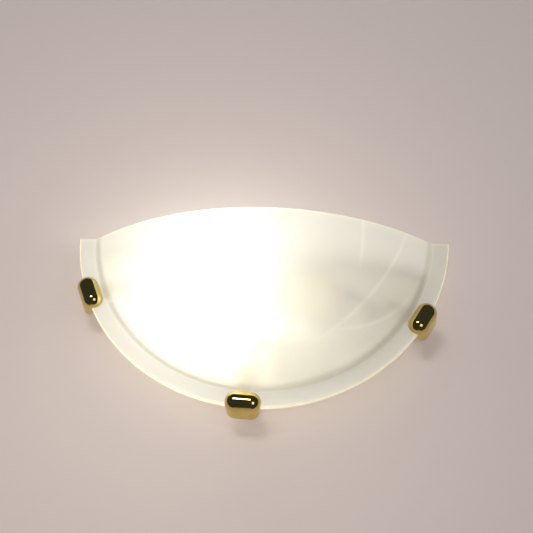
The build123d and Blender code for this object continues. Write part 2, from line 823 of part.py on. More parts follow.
# Inner leads: live and neutral go round the bracket into the threaded tube, earth goes to its tag
block_side = block_place[0] + terminal_tube_length / 2
live_row = way_places[2][1]
neutral_row = way_places[1][1]
earth_row = way_places[0][1]
mouth_reach = tag_barrel_length + 2 * tag_barrel_radius
tag_mouth = (tag_end[0] + mouth_reach * cos(tag_turn), tag_end[1] + mouth_reach * sin(tag_turn))
wire_routes = {
    "wire_live": [
        (block_side - wire_grip, live_row, bore_floor),
        (block_side + 15.0, live_row, 7.5),
        (block_side + 33.0, live_row + 2.5, 13.0),
        (bracket_back + 16.5, -lamp_drop - 21.0, 23.0),
        (bracket_back + 21.5, -lamp_drop - 7.5, 34.0),
        (bracket_back + 13.0, -lamp_drop, lamp_height + wire_pair_offset),
        (insert_back + thread_clearance, -lamp_drop, lamp_height + wire_pair_offset),
    ],
    "wire_neutral": [
        (block_side - wire_grip, neutral_row, bore_floor),
        (block_side + 16.0, neutral_row, 8.0),
        (block_side + 36.0, neutral_row + 6.0, 13.0),
        (bracket_back + 21.5, -lamp_drop - 26.0, 18.0),
        (bracket_back + 28.5, -lamp_drop - 10.5, 28.0),
        (bracket_back + 17.5, -lamp_drop, lamp_height - wire_pair_offset),
        (insert_back + thread_clearance, -lamp_drop, lamp_height - wire_pair_offset),
    ],
    "wire_earth": [
        (block_side - wire_grip, earth_row, bore_floor),
        (block_side + 6.0, earth_row - 0.2, 6.9),
        (*tag_mouth, barrel_height),
        (*tag_end, barrel_height),
    ],
}


def bend_radii(points):
    """Largest smooth bend at each corner: 0.45 of its shorter run over the tangent of half the turn."""
    runs = [after - before for before, after in zip(points, points[1:])]
    share = 0.45
    return [
        share * min(first.length, second.length) / tan(radians(first.get_angle(second)) / 2)
        for first, second in zip(runs, runs[1:])
    ]


for name, route in wire_routes.items():
    points = [plate.from_local_coords(point) for point in route]
    radii = bend_radii(points)
    print(name, "bend radii", [round(radius, 1) for radius in radii])
    with BuildPart() as wire:
        with BuildLine() as wire_line:
            FilletPolyline(*points, radius=radii)
        with BuildSketch(Plane(origin=wire_line.line @ 0, z_dir=wire_line.line % 0)):
            Circle(wire_radius)
        sweep()
    length = sum(edge.length for edge in wire_line.edges())
    share = wire.part.volume / (length * pi * wire_radius**2)
    print(name, "length", round(length, 1), "volume share", round(share, 4))
    keep(wire, name)
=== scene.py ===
"""Half-round glass wall light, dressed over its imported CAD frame.

The sizes here are millimetres until `Axes.at` turns them into the frame's metres. X runs to the right
along the wall, Z runs up, and the room is on the -Y side.
"""

import json
import logging
import math
from dataclasses import dataclass, field
from enum import Enum
from typing import Callable, Sequence

import bmesh
import bpy
from mathutils import Matrix, Vector


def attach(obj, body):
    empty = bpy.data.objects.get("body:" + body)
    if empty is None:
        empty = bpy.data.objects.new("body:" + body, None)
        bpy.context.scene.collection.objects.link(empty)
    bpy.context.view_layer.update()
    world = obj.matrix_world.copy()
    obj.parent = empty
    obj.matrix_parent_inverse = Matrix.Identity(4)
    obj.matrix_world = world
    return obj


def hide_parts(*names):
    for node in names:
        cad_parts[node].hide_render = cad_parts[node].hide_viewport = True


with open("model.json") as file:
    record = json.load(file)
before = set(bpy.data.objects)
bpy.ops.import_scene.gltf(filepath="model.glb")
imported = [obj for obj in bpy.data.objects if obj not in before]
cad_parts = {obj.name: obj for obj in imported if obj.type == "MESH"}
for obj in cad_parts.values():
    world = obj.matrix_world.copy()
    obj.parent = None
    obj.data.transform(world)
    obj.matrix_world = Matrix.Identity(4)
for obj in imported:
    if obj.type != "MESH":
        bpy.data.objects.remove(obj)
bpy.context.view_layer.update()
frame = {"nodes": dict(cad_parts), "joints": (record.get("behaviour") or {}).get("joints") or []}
LOG = logging.getLogger("wall_light")
MM = 0.001
Outline = Sequence[tuple[float, float]]


# Axes and places

@dataclass(frozen=True)
class Axes:
    """Three square directions and an origin that sizes in millimetres are laid out on."""

    origin: Vector
    across: Vector
    up: Vector
    out: Vector

    def at(self, across: float, up: float, out: float) -> Vector:
        """Point in the frame's metres for three sizes in millimetres."""
        return self.origin + (self.across * across + self.up * up + self.out * out) * MM

    def direction(self, angle: float) -> Vector:
        """Direction at an angle, in degrees, round the outward axis."""
        turned = math.radians(angle)
        return self.across * math.cos(turned) + self.up * math.sin(turned)


def joint(name: str) -> dict:
    """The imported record's row for one joint."""
    return next(row for row in frame["joints"] if row["name"] == name)


def fixture_axes() -> tuple[Axes, Axes, Axes]:
    """Work out the glass's level axes, the pan's turned axes and the lamp's axes from the joints.

    Returns:
        Axes for the glass, for the pan, and for the lamp, whose across direction is the lamp's own axis.
    """
    out = Vector((0, -1, 0))
    centre = Vector(joint("glass_turn")["pos_m"])
    across = -Vector(joint("lamp_unscrew")["axis"]).normalized()
    level = Axes(centre, Vector((1, 0, 0)), Vector((0, 0, 1)), out)
    plate = Axes(centre, across, out.cross(across), out)
    lamp = Axes(Vector(joint("lamp_unscrew")["pos_m"]), across, out.cross(across), out)
    return level, plate, lamp


LEVEL, PLATE, LAMP = fixture_axes()


# Mesh helpers

def finish_mesh(form: bmesh.types.BMesh, name: str, sharp_angle: float = 32.0) -> bpy.types.Mesh:
    """Weld a mesh, turn its faces outwards and shade it smooth between its sharp edges.

    Args:
        form: The mesh being built, which is freed here.
        name: Name of the new mesh.
        sharp_angle: Angle in degrees above which an edge stays sharp.

    Returns:
        The finished mesh.
    """
    bmesh.ops.remove_doubles(form, verts=form.verts, dist=1e-7)
    bmesh.ops.dissolve_degenerate(form, edges=form.edges, dist=1e-8)
    bmesh.ops.recalc_face_normals(form, faces=form.faces)
    mesh = bpy.data.meshes.new(name)
    form.to_mesh(mesh)
    form.free()
    mesh.shade_smooth()
    mesh.set_sharp_from_angle(angle=math.radians(sharp_angle))
    return mesh


def lofted(rows: Sequence[Sequence[Vector]], ring: bool, loop: bool) -> bmesh.types.BMesh:
    """Join rows of points into quads.

    Args:
        rows: Rows with the same number of points each.
        ring: Whether each row closes on itself.
        loop: Whether the last row joins the first.

    Returns:
        The open or closed mesh.
    """
    form = bmesh.new()
    grid = [[form.verts.new(point) for point in row] for row in rows]
    count = len(rows[0])
    for first, second in zip(grid, grid[1:] + grid[:1] if loop else grid[1:]):
        for place in range(count if ring else count - 1):
            following = (place + 1) % count
            form.faces.new((first[place], first[following], second[following], second[place]))
    return form


def turned(axes: Axes, outline: Outline, steps: int, swell: Callable[[float, float], float] | None = None,
           loop: bool = True) -> bmesh.types.BMesh:
    """Turn an outline about the across axis.

    Args:
        axes: Axes whose across direction is the axis.
        outline: Places along the axis and their radii, in millimetres.
        steps: Steps in a full turn.
        swell: Extra radius for a place along the axis and a turn from 0 to 1, such as a thread's.
        loop: Whether the outline closes on itself.

    Returns:
        The turned mesh.
    """
    rows = []
    for along, radius in outline:
        row = []
        for step in range(steps):
            share = step / steps
            angle = share * math.tau
            reach = radius + (swell(along, share) if swell and radius else 0.0)
            row.append(axes.at(along, reach * math.cos(angle), reach * math.sin(angle)))
        rows.append(row)
    return lofted(rows, ring=True, loop=loop)


def add_object(name: str, mesh: bpy.types.Mesh) -> bpy.types.Object:
    """Put a mesh into the scene as an object at the origin."""
    made = bpy.data.objects.new(name, mesh)
    bpy.context.scene.collection.objects.link(made)
    return made


def settled_mesh(source: bpy.types.Object, name: str) -> bpy.types.Mesh:
    """The plain mesh that an object's modifiers make."""
    view = bpy.context.evaluated_depsgraph_get()
    mesh = bpy.data.meshes.new_from_object(source.evaluated_get(view))
    mesh.name = name
    return mesh


@dataclass(frozen=True)
class Standing:
    """What a new piece stands for: the body it rides on, its slot and the CAD nodes it replaces."""

    body: str
    slot: str
    nodes: tuple[str, ...]

    def place(self, piece: bpy.types.Object) -> bpy.types.Object:
        """Tie a finished piece to its body and its CAD nodes.

        Args:
            piece: The finished object.

        Returns:
            The same object.
        """
        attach(piece, self.body)
        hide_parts(*self.nodes)
        LOG.info("%s rides on %s and stands for %s, %d faces", piece.name, self.body,
                 ", ".join(self.nodes), len(piece.data.polygons))
        return piece


# Materials

def linear(colour: str) -> tuple[float, float, float, float]:
    """Turn an sRGB hex colour such as f3eedd into linear red, green, blue and a full alpha."""
    parts = [int(colour[place:place + 2], 16) / 255 for place in (0, 2, 4)]
    low, scale, offset, power = 0.04045, 12.92, 0.055, 2.4
    red, green, blue = (part / scale if part <= low else ((part + offset) / (1 + offset)) ** power
                        for part in parts)
    return red, green, blue, 1.0


def add_node(tree: bpy.types.NodeTree, kind: str, inputs: dict | None = None, **settings) -> bpy.types.Node:
    """Add a node with its settings, its input values and its links.

    Args:
        tree: The node tree.
        kind: Blender's name for the kind of node.
        inputs: Value or output socket for each input, by name or index.
        settings: Attributes of the node.

    Returns:
        The new node.
    """
    made = tree.nodes.new(kind)
    for key, value in settings.items():
        setattr(made, key, value)
    for key, value in (inputs or {}).items():
        if isinstance(value, bpy.types.NodeSocket):
            tree.links.new(value, made.inputs[key])
        else:
            made.inputs[key].default_value = value
    return made


class Pattern(Enum):
    """How a surface varies from place to place."""

    GRAIN = "even fine grain"
    PEEL = "rounded dimples of a sprayed or powder coat"
    BRUSHED = "lines along the part"
    TURNED = "fine lines round the lamp's axis"
    SPANGLE = "small crystals of a plated surface"
    SPECKS = "sparse dark specks in a fired ceramic"
    CLOUDS = "soft blotches of a moulded or rubbed surface"


@dataclass(frozen=True)
class Finish:
    """One finish: its two colours, its gloss and the scale of its pattern.

    The colours are sRGB hex values, and the pattern's size and depth are millimetres on the real part.
    """

    name: str
    colour: str
    second: str
    roughness: float
    pattern: Pattern
    pattern_mm: float
    depth_mm: float = 0.01
    spread: float = 0.08
    metallic: float = 0.0
    ior: float = 1.5
    coat: float = 0.0
    transmission: float = 0.0
    held_light: float = 0.0

    def value(self, tree: bpy.types.NodeTree) -> bpy.types.NodeSocket:
        """Add the pattern's nodes and give a socket that runs from 0 to 1."""
        place = add_node(tree, "ShaderNodeTexCoord").outputs["Object"]
        scale = 1 / (self.pattern_mm * MM)
        stretch = {Pattern.BRUSHED: (0.03, 1.0, 1.0), Pattern.TURNED: (1.0, 0.02, 0.02)}.get(self.pattern)
        if stretch:
            slope = math.atan2(PLATE.across.z, PLATE.across.x)
            place = add_node(tree, "ShaderNodeMapping", {"Vector": place, "Rotation": (0.0, slope, 0.0),
                                                         "Scale": stretch}).outputs["Vector"]
        if self.pattern in (Pattern.SPANGLE, Pattern.SPECKS):
            cells = add_node(tree, "ShaderNodeTexVoronoi", {"Vector": place, "Scale": scale})
            if self.pattern is Pattern.SPANGLE:
                return add_node(tree, "ShaderNodeSeparateColor", {"Color": cells.outputs["Color"]}).outputs[0]
            return add_node(tree, "ShaderNodeMapRange", {"Value": cells.outputs["Distance"], "From Min": 0.05,
                                                         "From Max": 0.16}).outputs["Result"]
        detail = {Pattern.PEEL: 0.5, Pattern.CLOUDS: 2.0}.get(self.pattern, 5.0)
        noise = add_node(tree, "ShaderNodeTexNoise", {"Vector": place, "Scale": scale, "Detail": detail})
        return add_node(tree, "ShaderNodeMapRange", {"Value": noise.outputs["Fac"], "From Min": 0.3,
                                                     "From Max": 0.7}).outputs["Result"]

    def make(self) -> bpy.types.Material:
        """Build the material's node tree.

        Returns:
            The material.
        """
        material = bpy.data.materials.new(self.name)
        material.use_nodes = True
        tree = material.node_tree
        shader = tree.nodes["Principled BSDF"]
        value = self.value(tree)
        colour = add_node(tree, "ShaderNodeMix", {0: value, 6: linear(self.second), 7: linear(self.colour)},
                          data_type="RGBA")
        tree.links.new(colour.outputs[2], shader.inputs["Base Color"])
        gloss = add_node(tree, "ShaderNodeMapRange", {"Value": value, "To Min": self.roughness + self.spread / 2,
                                                      "To Max": max(0.0, self.roughness - self.spread / 2)})
        tree.links.new(gloss.outputs["Result"], shader.inputs["Roughness"])
        bump = add_node(tree, "ShaderNodeBump", {"Height": value, "Distance": self.depth_mm * MM,
                                                 "Strength": 1.0})
        tree.links.new(bump.outputs["Normal"], shader.inputs["Normal"])
        shader.inputs["Metallic"].default_value = self.metallic
        shader.inputs["Coat Weight"].default_value = self.coat
        shader.inputs["Transmission Weight"].default_value = self.transmission
        if not self.metallic:
            shader.inputs["IOR"].default_value = self.ior
        # Painted light: emission that falls off with distance from the lamp, only on faces turned towards it,
        # standing in for bounced lamp light
        if self.held_light:
            lit = LampGlow(power=1.0).strength(tree, self.held_light)
            spot = add_node(tree, "ShaderNodeTexCoord").outputs
            toward = add_node(tree, "ShaderNodeVectorMath", {0: LAMP.at(-34.5, 0, 0), 1: spot["Object"]},
                              operation="SUBTRACT")
            towards = add_node(tree, "ShaderNodeVectorMath", {0: toward.outputs[0]}, operation="NORMALIZE")
            facing = add_node(tree, "ShaderNodeVectorMath", {0: towards.outputs[0], 1: spot["Normal"]},
                              operation="DOT_PRODUCT")
            side = add_node(tree, "ShaderNodeMapRange", {"Value": facing.outputs["Value"], "From Min": 0.0,
                                                         "From Max": 0.2})
            lit = add_node(tree, "ShaderNodeMath", {0: lit, 1: side.outputs["Result"]},
                           operation="MULTIPLY").outputs[0]
            tree.links.new(lit, shader.inputs["Emission Strength"])
            shader.inputs["Emission Color"].default_value = linear(self.colour)
        return material


# Drawn brass, polished and lacquered: a mirror with a warm gold tint and faint rubbing marks
POLISHED_BRASS = Finish("brass_polished_lacquered", "dcc67c", "d2b96c", 0.045, Pattern.CLOUDS, 9.0,
                        depth_mm=0.004, spread=0.03, metallic=1.0)
# Rolled brass strip, bent and left bright: soft lines along the strip
BRASS_STRIP = Finish("brass_strip_rolled", "dac276", "c7ac60", 0.26, Pattern.BRUSHED, 0.5,
                     depth_mm=0.006, spread=0.12, metallic=1.0)
# Turned brass bar: bright rings left by the tool
TURNED_BRASS = Finish("brass_bar_turned", "d4bb74", "baa058", 0.28, Pattern.TURNED, 0.35,
                      depth_mm=0.01, spread=0.12, metallic=1.0)
# Zinc-plated steel: cool bright metal with tiny crystals
ZINC_STEEL = Finish("steel_zinc_plated", "c6cacf", "a4a9b0", 0.33, Pattern.SPANGLE, 0.9,
                    depth_mm=0.004, spread=0.14, metallic=1.0)
# Powder-coated pressed steel: warm white with shallow dimples about 1.6 mm apart. Its faces turned to the lamp
# carry a painted glow, falling off with distance, that stands in for the lamp's light bouncing between pan and glass
POWDER_COAT = Finish("steel_powder_coated_white", "f2f0e8", "eae7dd", 0.42, Pattern.PEEL, 1.6,
                     depth_mm=0.02, spread=0.06, held_light=1.0)
# Moulded phenolic resin: glossy cream with faint flow clouds
CREAM_PHENOLIC = Finish("phenolic_moulded_cream", "f0e2ae", "e8d698", 0.24, Pattern.CLOUDS, 7.0,
                        depth_mm=0.01, spread=0.08, coat=0.25)
# Steatite, a fired ceramic: matt off-white with sparse fine specks
STEATITE = Finish("steatite_fired", "e6e0d3", "a89e8c", 0.62, Pattern.SPECKS, 1.4, depth_mm=0.01)
# Aluminium lamp cap, drawn and rolled: grey metal with lines round the axis
CAP_ALUMINIUM = Finish("aluminium_rolled_cap", "c9cbcc", "aeb1b3", 0.34, Pattern.TURNED, 0.4,
                       depth_mm=0.006, spread=0.1, metallic=1.0)
# Black vitrite glass under the lamp cap: glossy, with a fire-polished ripple
BLACK_LAMP_GLASS = Finish("vitrite_glass_black", "16151a", "201e24", 0.12, Pattern.CLOUDS, 3.0,
                          depth_mm=0.03, spread=0.05)
# Soft solder on the centre contact: dull grey metal, slightly lumpy
SOLDER = Finish("solder_soft_cooled", "b7babb", "8f9395", 0.45, Pattern.CLOUDS, 1.2,
                depth_mm=0.05, spread=0.15, metallic=1.0)
# Drawn tungsten wire: dark grey metal
TUNGSTEN = Finish("tungsten_drawn", "7b7670", "5c5853", 0.4, Pattern.GRAIN, 0.2, depth_mm=0.004, metallic=1.0)
# Lamp glass of the stem: clear, fire polished
STEM_GLASS = Finish("soda_glass_clear", "f4f6f4", "eef2ef", 0.04, Pattern.CLOUDS, 4.0,
                    depth_mm=0.01, spread=0.02, ior=1.52, transmission=1.0)
# Natural nylon 6.6, moulded: milky off-white, half gloss
NATURAL_NYLON = Finish("nylon_moulded_natural", "efe8d4", "e4dbc2", 0.38, Pattern.CLOUDS, 3.5,
                       depth_mm=0.008, spread=0.1, ior=1.53, transmission=0.12)
# Tinned brass of the crimp tag: pale satin metal
TINNED_BRASS = Finish("brass_tinned", "d3cfc0", "b7b2a0", 0.36, Pattern.GRAIN, 0.5,
                      depth_mm=0.006, spread=0.12, metallic=1.0)
# Black rubber grommet: matt with a moulded grain
BLACK_RUBBER = Finish("rubber_moulded_black", "232222", "1a1919", 0.72, Pattern.GRAIN, 0.6, depth_mm=0.02)
# PVC lead sleeves: even colours with a soft extruded sheen
BROWN_SLEEVE = Finish("pvc_sleeve_brown", "5f3a22", "553319", 0.38, Pattern.CLOUDS, 4.0, depth_mm=0.008)
BLUE_SLEEVE = Finish("pvc_sleeve_blue", "2f6db0", "2a63a3", 0.38, Pattern.CLOUDS, 4.0, depth_mm=0.008)
GREEN_SLEEVE = Finish("pvc_sleeve_green_yellow", "4f9a3c", "468c35", 0.38, Pattern.CLOUDS, 4.0, depth_mm=0.008)
# Clear soft vinyl between clip and glass: slightly cloudy, faintly yellow
SOFT_VINYL = Finish("vinyl_soft_clear", "f1f0df", "e9e6cf", 0.28, Pattern.CLOUDS, 2.5,
                    depth_mm=0.02, spread=0.1, ior=1.53, transmission=0.7)


@dataclass(frozen=True)
class LampGlow:
    """Painted glow: emission strength that stands in for the lamp's light in milky glass or on the pan, brightest
    next to the lamp and falling off with distance.

    The centre is a place along the lamp's axis, in millimetres.
    """

    centre_mm: float = -34.5
    near_mm: float = 56.0
    power: float = 2.4

    def strength(self, tree: bpy.types.NodeTree, near: float) -> bpy.types.NodeSocket:
        """Add the fall-off's nodes.

        Args:
            tree: The material's node tree.
            near: Strength at the near distance.

        Returns:
            A socket with the strength at each point.
        """
        place = add_node(tree, "ShaderNodeTexCoord").outputs["Object"]
        away = add_node(tree, "ShaderNodeVectorMath", {0: place, 1: LAMP.at(self.centre_mm, 0, 0)},
                        operation="DISTANCE").outputs["Value"]
        ratio = add_node(tree, "ShaderNodeMath", {0: self.near_mm * MM, 1: away}, operation="DIVIDE")
        raised = add_node(tree, "ShaderNodeMath", {0: ratio.outputs[0], 1: self.power}, operation="POWER")
        return add_node(tree, "ShaderNodeMath", {0: raised.outputs[0], 1: near},
                        operation="MULTIPLY").outputs[0]


@dataclass(frozen=True)
class SwirlStroke:
    """One faint bright stroke in the glass: a stretch of a ring that fades out towards both its ends. It is a pattern
    of the glass drawn only as painted glow, added to the glass's emission.

    The places are millimetres across and up from the glass's centre, and so are the radius and the reach.
    """

    centre: tuple[float, float]
    radius: float
    middle: tuple[float, float]
    reach: float
    half_width: float = 2.2

    def value(self, tree: bpy.types.NodeTree, flat: bpy.types.NodeSocket) -> bpy.types.NodeSocket:
        """Add the stroke's nodes.

        Args:
            tree: The material's node tree.
            flat: Socket with the place on the glass seen square to the wall.

        Returns:
            A socket that is 1 along the middle of the stroke and 0 away from it.
        """
        away = [add_node(tree, "ShaderNodeVectorMath", {0: flat, 1: LEVEL.at(*spot, 0.0)},
                         operation="DISTANCE").outputs["Value"] for spot in (self.centre, self.middle)]
        off = add_node(tree, "ShaderNodeMath", {0: away[0], 1: self.radius * MM}, operation="SUBTRACT")
        side = add_node(tree, "ShaderNodeMath", {0: off.outputs[0]}, operation="ABSOLUTE")
        line = add_node(tree, "ShaderNodeMapRange", {"Value": side.outputs[0], "From Max": self.half_width * MM,
                                                     "To Min": 1.0, "To Max": 0.0}, interpolation_type="SMOOTHSTEP")
        fade = add_node(tree, "ShaderNodeMapRange", {"Value": away[1], "From Min": self.reach * MM / 3,
                                                     "From Max": self.reach * MM, "To Min": 1.0, "To Max": 0.0},
                        interpolation_type="SMOOTHSTEP")
        return add_node(tree, "ShaderNodeMath", {0: line.outputs["Result"], 1: fade.outputs["Result"]},
                        operation="MULTIPLY").outputs[0]


@dataclass(frozen=True)
class SatinGlass:
    """Slumped glass with a sprayed satin back: milky ivory, with long faint swirls drawn as painted glow, a painted
    glow of the lamp's light that falls off with distance, and painted shade along the root's crease with a thin
    painted highlight just outside it.
    """

    name: str = "glass_slumped_satin_ivory"
    colour: str = "c2c0b8"
    through: str = "cfcfc8"
    light: str = "fffdf6"
    # Painted shade: a narrow band along the crease at the dome's root, darker in colour and with weaker painted glow
    root_colour: str = "b3aea1"
    root_mm: float = 134.0
    root_width_mm: float = 3.2
    root_glow: float = 0.85
    roughness: float = 0.33
    transmission: float = 0.52
    diffusing: float = 0.19
    ior: float = 1.5
    # Painted glow of the lamp's light: its strength next to the lamp, its fall-off and its share on the flange
    glow: float = 0.55
    glow_power: float = 1.4
    flange_share: float = 0.55
    swirl_glow: float = 0.075
    strokes: tuple[SwirlStroke, ...] = (
        SwirlStroke((-48.0, 38.0), 168.0, (92.0, -50.0), 82.0),
        SwirlStroke((50.0, -12.0), 80.0, (96.0, -78.0), 46.0),
        SwirlStroke((-118.0, -14.0), 198.5, (80.0, -18.0), 30.0),
        # The last stroke is a thin full ring just outside the root's crease: a painted highlight, not a swirl
        SwirlStroke((0.0, 0.0), 137.6, (0.0, -137.0), 520.0, 0.7),
    )
    veil: str = "f2f2ec"

    def make(self) -> bpy.types.Material:
        """Build the satin glass, which lets the lamp's light through as its shadow rays.

        Returns:
            The material.
        """
        material = bpy.data.materials.new(self.name)
        material.use_nodes = True
        tree = material.node_tree
        shader = tree.nodes["Principled BSDF"]
        place = add_node(tree, "ShaderNodeTexCoord").outputs["Object"]
        flat = add_node(tree, "ShaderNodeVectorMath", {0: place, 1: (1.0, 0.0, 1.0)}, operation="MULTIPLY")
        swirl = self.strokes[0].value(tree, flat.outputs[0])
        for stroke in self.strokes[1:]:
            swirl = add_node(tree, "ShaderNodeMath", {0: swirl, 1: stroke.value(tree, flat.outputs[0])},
                             operation="MAXIMUM").outputs[0]
        spoke = add_node(tree, "ShaderNodeVectorMath", {0: flat.outputs[0], 1: LEVEL.origin}, operation="DISTANCE")
        # Painted shade along the root's crease: a darker colour and a dimmer painted glow in a narrow band
        aside = add_node(tree, "ShaderNodeMath", {0: spoke.outputs["Value"], 1: self.root_mm * MM},
                         operation="SUBTRACT")
        off_root = add_node(tree, "ShaderNodeMath", {0: aside.outputs[0]}, operation="ABSOLUTE")
        root_shade = add_node(tree, "ShaderNodeMapRange", {"Value": off_root.outputs[0], "From Max": self.root_width_mm * MM,
                                                       "To Min": 1.0, "To Max": 0.0}, interpolation_type="SMOOTHSTEP")
        colour = add_node(tree, "ShaderNodeMix", {0: root_shade.outputs["Result"], 6: linear(self.colour),
                                                  7: linear(self.root_colour)}, data_type="RGBA")
        grain = add_node(tree, "ShaderNodeTexNoise", {"Vector": place, "Scale": 1 / (0.8 * MM), "Detail": 3.0})
        bump = add_node(tree, "ShaderNodeBump", {"Height": grain.outputs["Fac"], "Distance": 0.01 * MM,
                                                 "Strength": 0.5})
        # Painted glow: emission standing in for the lamp's light in the glass, weaker on the flange and in the root's
        # painted shade, plus the swirls' painted glow
        glow = LampGlow(power=self.glow_power).strength(tree, self.glow)
        bowl = add_node(tree, "ShaderNodeMapRange", {"Value": aside.outputs[0], "From Min": -self.root_width_mm * MM,
                                                     "From Max": self.root_width_mm * MM, "To Min": 1.0,
                                                     "To Max": self.flange_share}, interpolation_type="SMOOTHSTEP")
        dimmed = add_node(tree, "ShaderNodeMapRange", {"Value": root_shade.outputs["Result"], "To Min": 1.0,
                                                       "To Max": self.root_glow})
        share = add_node(tree, "ShaderNodeMath", {0: bowl.outputs["Result"], 1: dimmed.outputs["Result"]},
                         operation="MULTIPLY")
        bowl_painted_glow = add_node(tree, "ShaderNodeMath", {0: glow, 1: share.outputs[0]}, operation="MULTIPLY")
        lit = add_node(tree, "ShaderNodeMath", {0: swirl, 1: self.swirl_glow, 2: bowl_painted_glow.outputs[0]},
                       operation="MULTIPLY_ADD")
        for key, value in (("Base Color", colour.outputs[2]), ("Normal", bump.outputs["Normal"]),
                           ("Emission Strength", lit.outputs[0])):
            tree.links.new(value, shader.inputs[key])
        shader.inputs["Emission Color"].default_value = linear(self.light)
        shader.inputs["Roughness"].default_value = self.roughness
        shader.inputs["Transmission Weight"].default_value = self.transmission
        shader.inputs["IOR"].default_value = self.ior
        milk = add_node(tree, "ShaderNodeBsdfTranslucent", {"Color": linear(self.through)})
        satin = add_node(tree, "ShaderNodeMixShader", {0: self.diffusing, 1: shader.outputs[0], 2: milk.outputs[0]})
        lamps_pass(tree, satin, self.veil)
        return material


@dataclass(frozen=True)
class GroundEdge:
    """The rim and the level cut, ground and polished: clearer glass with a painted glow, brightest near the lamp,
    that stands in for the bright line of light it carries.
    """

    name: str = "glass_edge_polished"
    colour: str = "f4f0da"
    light: str = "fff7d6"
    roughness: float = 0.12
    ior: float = 1.5
    glow: float = 1.0
    base_glow: float = 0.08
    veil: str = "e2e1d8"

    def make(self) -> bpy.types.Material:
        """Build the polished edge's material.

        Returns:
            The material.
        """
        material = bpy.data.materials.new(self.name)
        material.use_nodes = True
        tree = material.node_tree
        shader = tree.nodes["Principled BSDF"]
        place = add_node(tree, "ShaderNodeTexCoord").outputs["Object"]
        wheel = add_node(tree, "ShaderNodeTexNoise", {"Vector": place, "Scale": 1 / (2.5 * MM), "Detail": 2.0})
        bump = add_node(tree, "ShaderNodeBump", {"Height": wheel.outputs["Fac"], "Distance": 0.02 * MM,
                                                 "Strength": 0.6})
        # Painted glow along the edge: a fall-off from the lamp plus an even base
        glow = LampGlow().strength(tree, self.glow)
        lit = add_node(tree, "ShaderNodeMath", {0: glow, 1: self.base_glow}, operation="ADD")
        tree.links.new(bump.outputs["Normal"], shader.inputs["Normal"])
        tree.links.new(lit.outputs[0], shader.inputs["Emission Strength"])
        shader.inputs["Base Color"].default_value = linear(self.colour)
        shader.inputs["Emission Color"].default_value = linear(self.light)
        shader.inputs["Roughness"].default_value = self.roughness
        shader.inputs["Transmission Weight"].default_value = 0.6
        shader.inputs["IOR"].default_value = self.ior
        lamps_pass(tree, shader, self.veil)
        return material


def lamps_pass(tree: bpy.types.NodeTree, shader: bpy.types.Node, veil: str) -> None:
    """Let light from lamps reach what is behind a glass, dimmed and tinted by it.

    Args:
        tree: The material's node tree.
        shader: The glass's own shader.
        veil: sRGB hex colour of the light that comes through.
    """
    path = add_node(tree, "ShaderNodeLightPath")
    clear = add_node(tree, "ShaderNodeBsdfTransparent", {"Color": linear(veil)})
    mixed = add_node(tree, "ShaderNodeMixShader", {0: path.outputs["Is Shadow Ray"], 1: shader.outputs[0],
                                                   2: clear.outputs[0]})
    tree.links.new(mixed.outputs[0], tree.nodes["Material Output"].inputs["Surface"])


@dataclass(frozen=True)
class LitLampGlass:
    """Pearl lamp glass, frosted inside, with the lamp lit: an even warm white that darkens at the neck."""

    name: str = "glass_blown_pearl_lit"
    colour: str = "fbf6ea"
    light: str = "fafff4"
    strength: float = 9.0
    neck_strength: float = 5.0
    roughness: float = 0.3

    def make(self) -> bpy.types.Material:
        """Build the lit lamp's glass.

        Returns:
            The material.
        """
        material = bpy.data.materials.new(self.name)
        material.use_nodes = True
        tree = material.node_tree
        shader = tree.nodes["Principled BSDF"]
        place = add_node(tree, "ShaderNodeTexCoord").outputs["Object"]
        away = add_node(tree, "ShaderNodeVectorMath", {0: place, 1: LAMP.at(-34.5, 0, 0)},
                        operation="DISTANCE").outputs["Value"]
        lit = add_node(tree, "ShaderNodeMapRange", {"Value": away, "From Min": 27 * MM, "From Max": 45 * MM,
                                                    "To Min": self.strength, "To Max": self.neck_strength})
        frost = add_node(tree, "ShaderNodeTexNoise", {"Vector": place, "Scale": 1 / (0.5 * MM), "Detail": 2.0})
        bump = add_node(tree, "ShaderNodeBump", {"Height": frost.outputs["Fac"], "Distance": 0.01 * MM,
                                                 "Strength": 0.4})
        tree.links.new(lit.outputs["Result"], shader.inputs["Emission Strength"])
        tree.links.new(bump.outputs["Normal"], shader.inputs["Normal"])
        shader.inputs["Base Color"].default_value = linear(self.colour)
        shader.inputs["Emission Color"].default_value = linear(self.light)
        shader.inputs["Roughness"].default_value = self.roughness
        shader.inputs["IOR"].default_value = 1.52
        return material


def striped(material: bpy.types.Material, stripe: str) -> bpy.types.Material:
    """Lay a second colour along one side of a lead's sleeve.

    Args:
        material: The sleeve's plain material.
        stripe: sRGB hex colour of the stripe.

    Returns:
        The same material.
    """
    tree = material.node_tree
    shader = tree.nodes["Principled BSDF"]
    plain = shader.inputs["Base Color"].links[0].from_socket
    facing = add_node(tree, "ShaderNodeTexCoord").outputs["Normal"]
    height = add_node(tree, "ShaderNodeSeparateXYZ", {"Vector": facing}).outputs["Z"]
    side = add_node(tree, "ShaderNodeMapRange", {"Value": height, "From Min": 0.18, "From Max": 0.24})
    colour = add_node(tree, "ShaderNodeMix", {0: side.outputs["Result"], 6: plain, 7: linear(stripe)},
                      data_type="RGBA")
    tree.links.new(colour.outputs[2], shader.inputs["Base Color"])
    return material


def dress(material: bpy.types.Material, *nodes: str) -> None:
    """Give CAD nodes whose shape is right a material in all their slots.

    Args:
        material: The material.
        nodes: Names of the CAD nodes.
    """
    for name in nodes:
        shown = frame["nodes"][name]
        if not shown.material_slots:
            shown.data.materials.append(material)
        for place in shown.material_slots:
            place.material = material
        LOG.info("%s keeps its CAD shape in %s", name, material.name)


# Glass shade

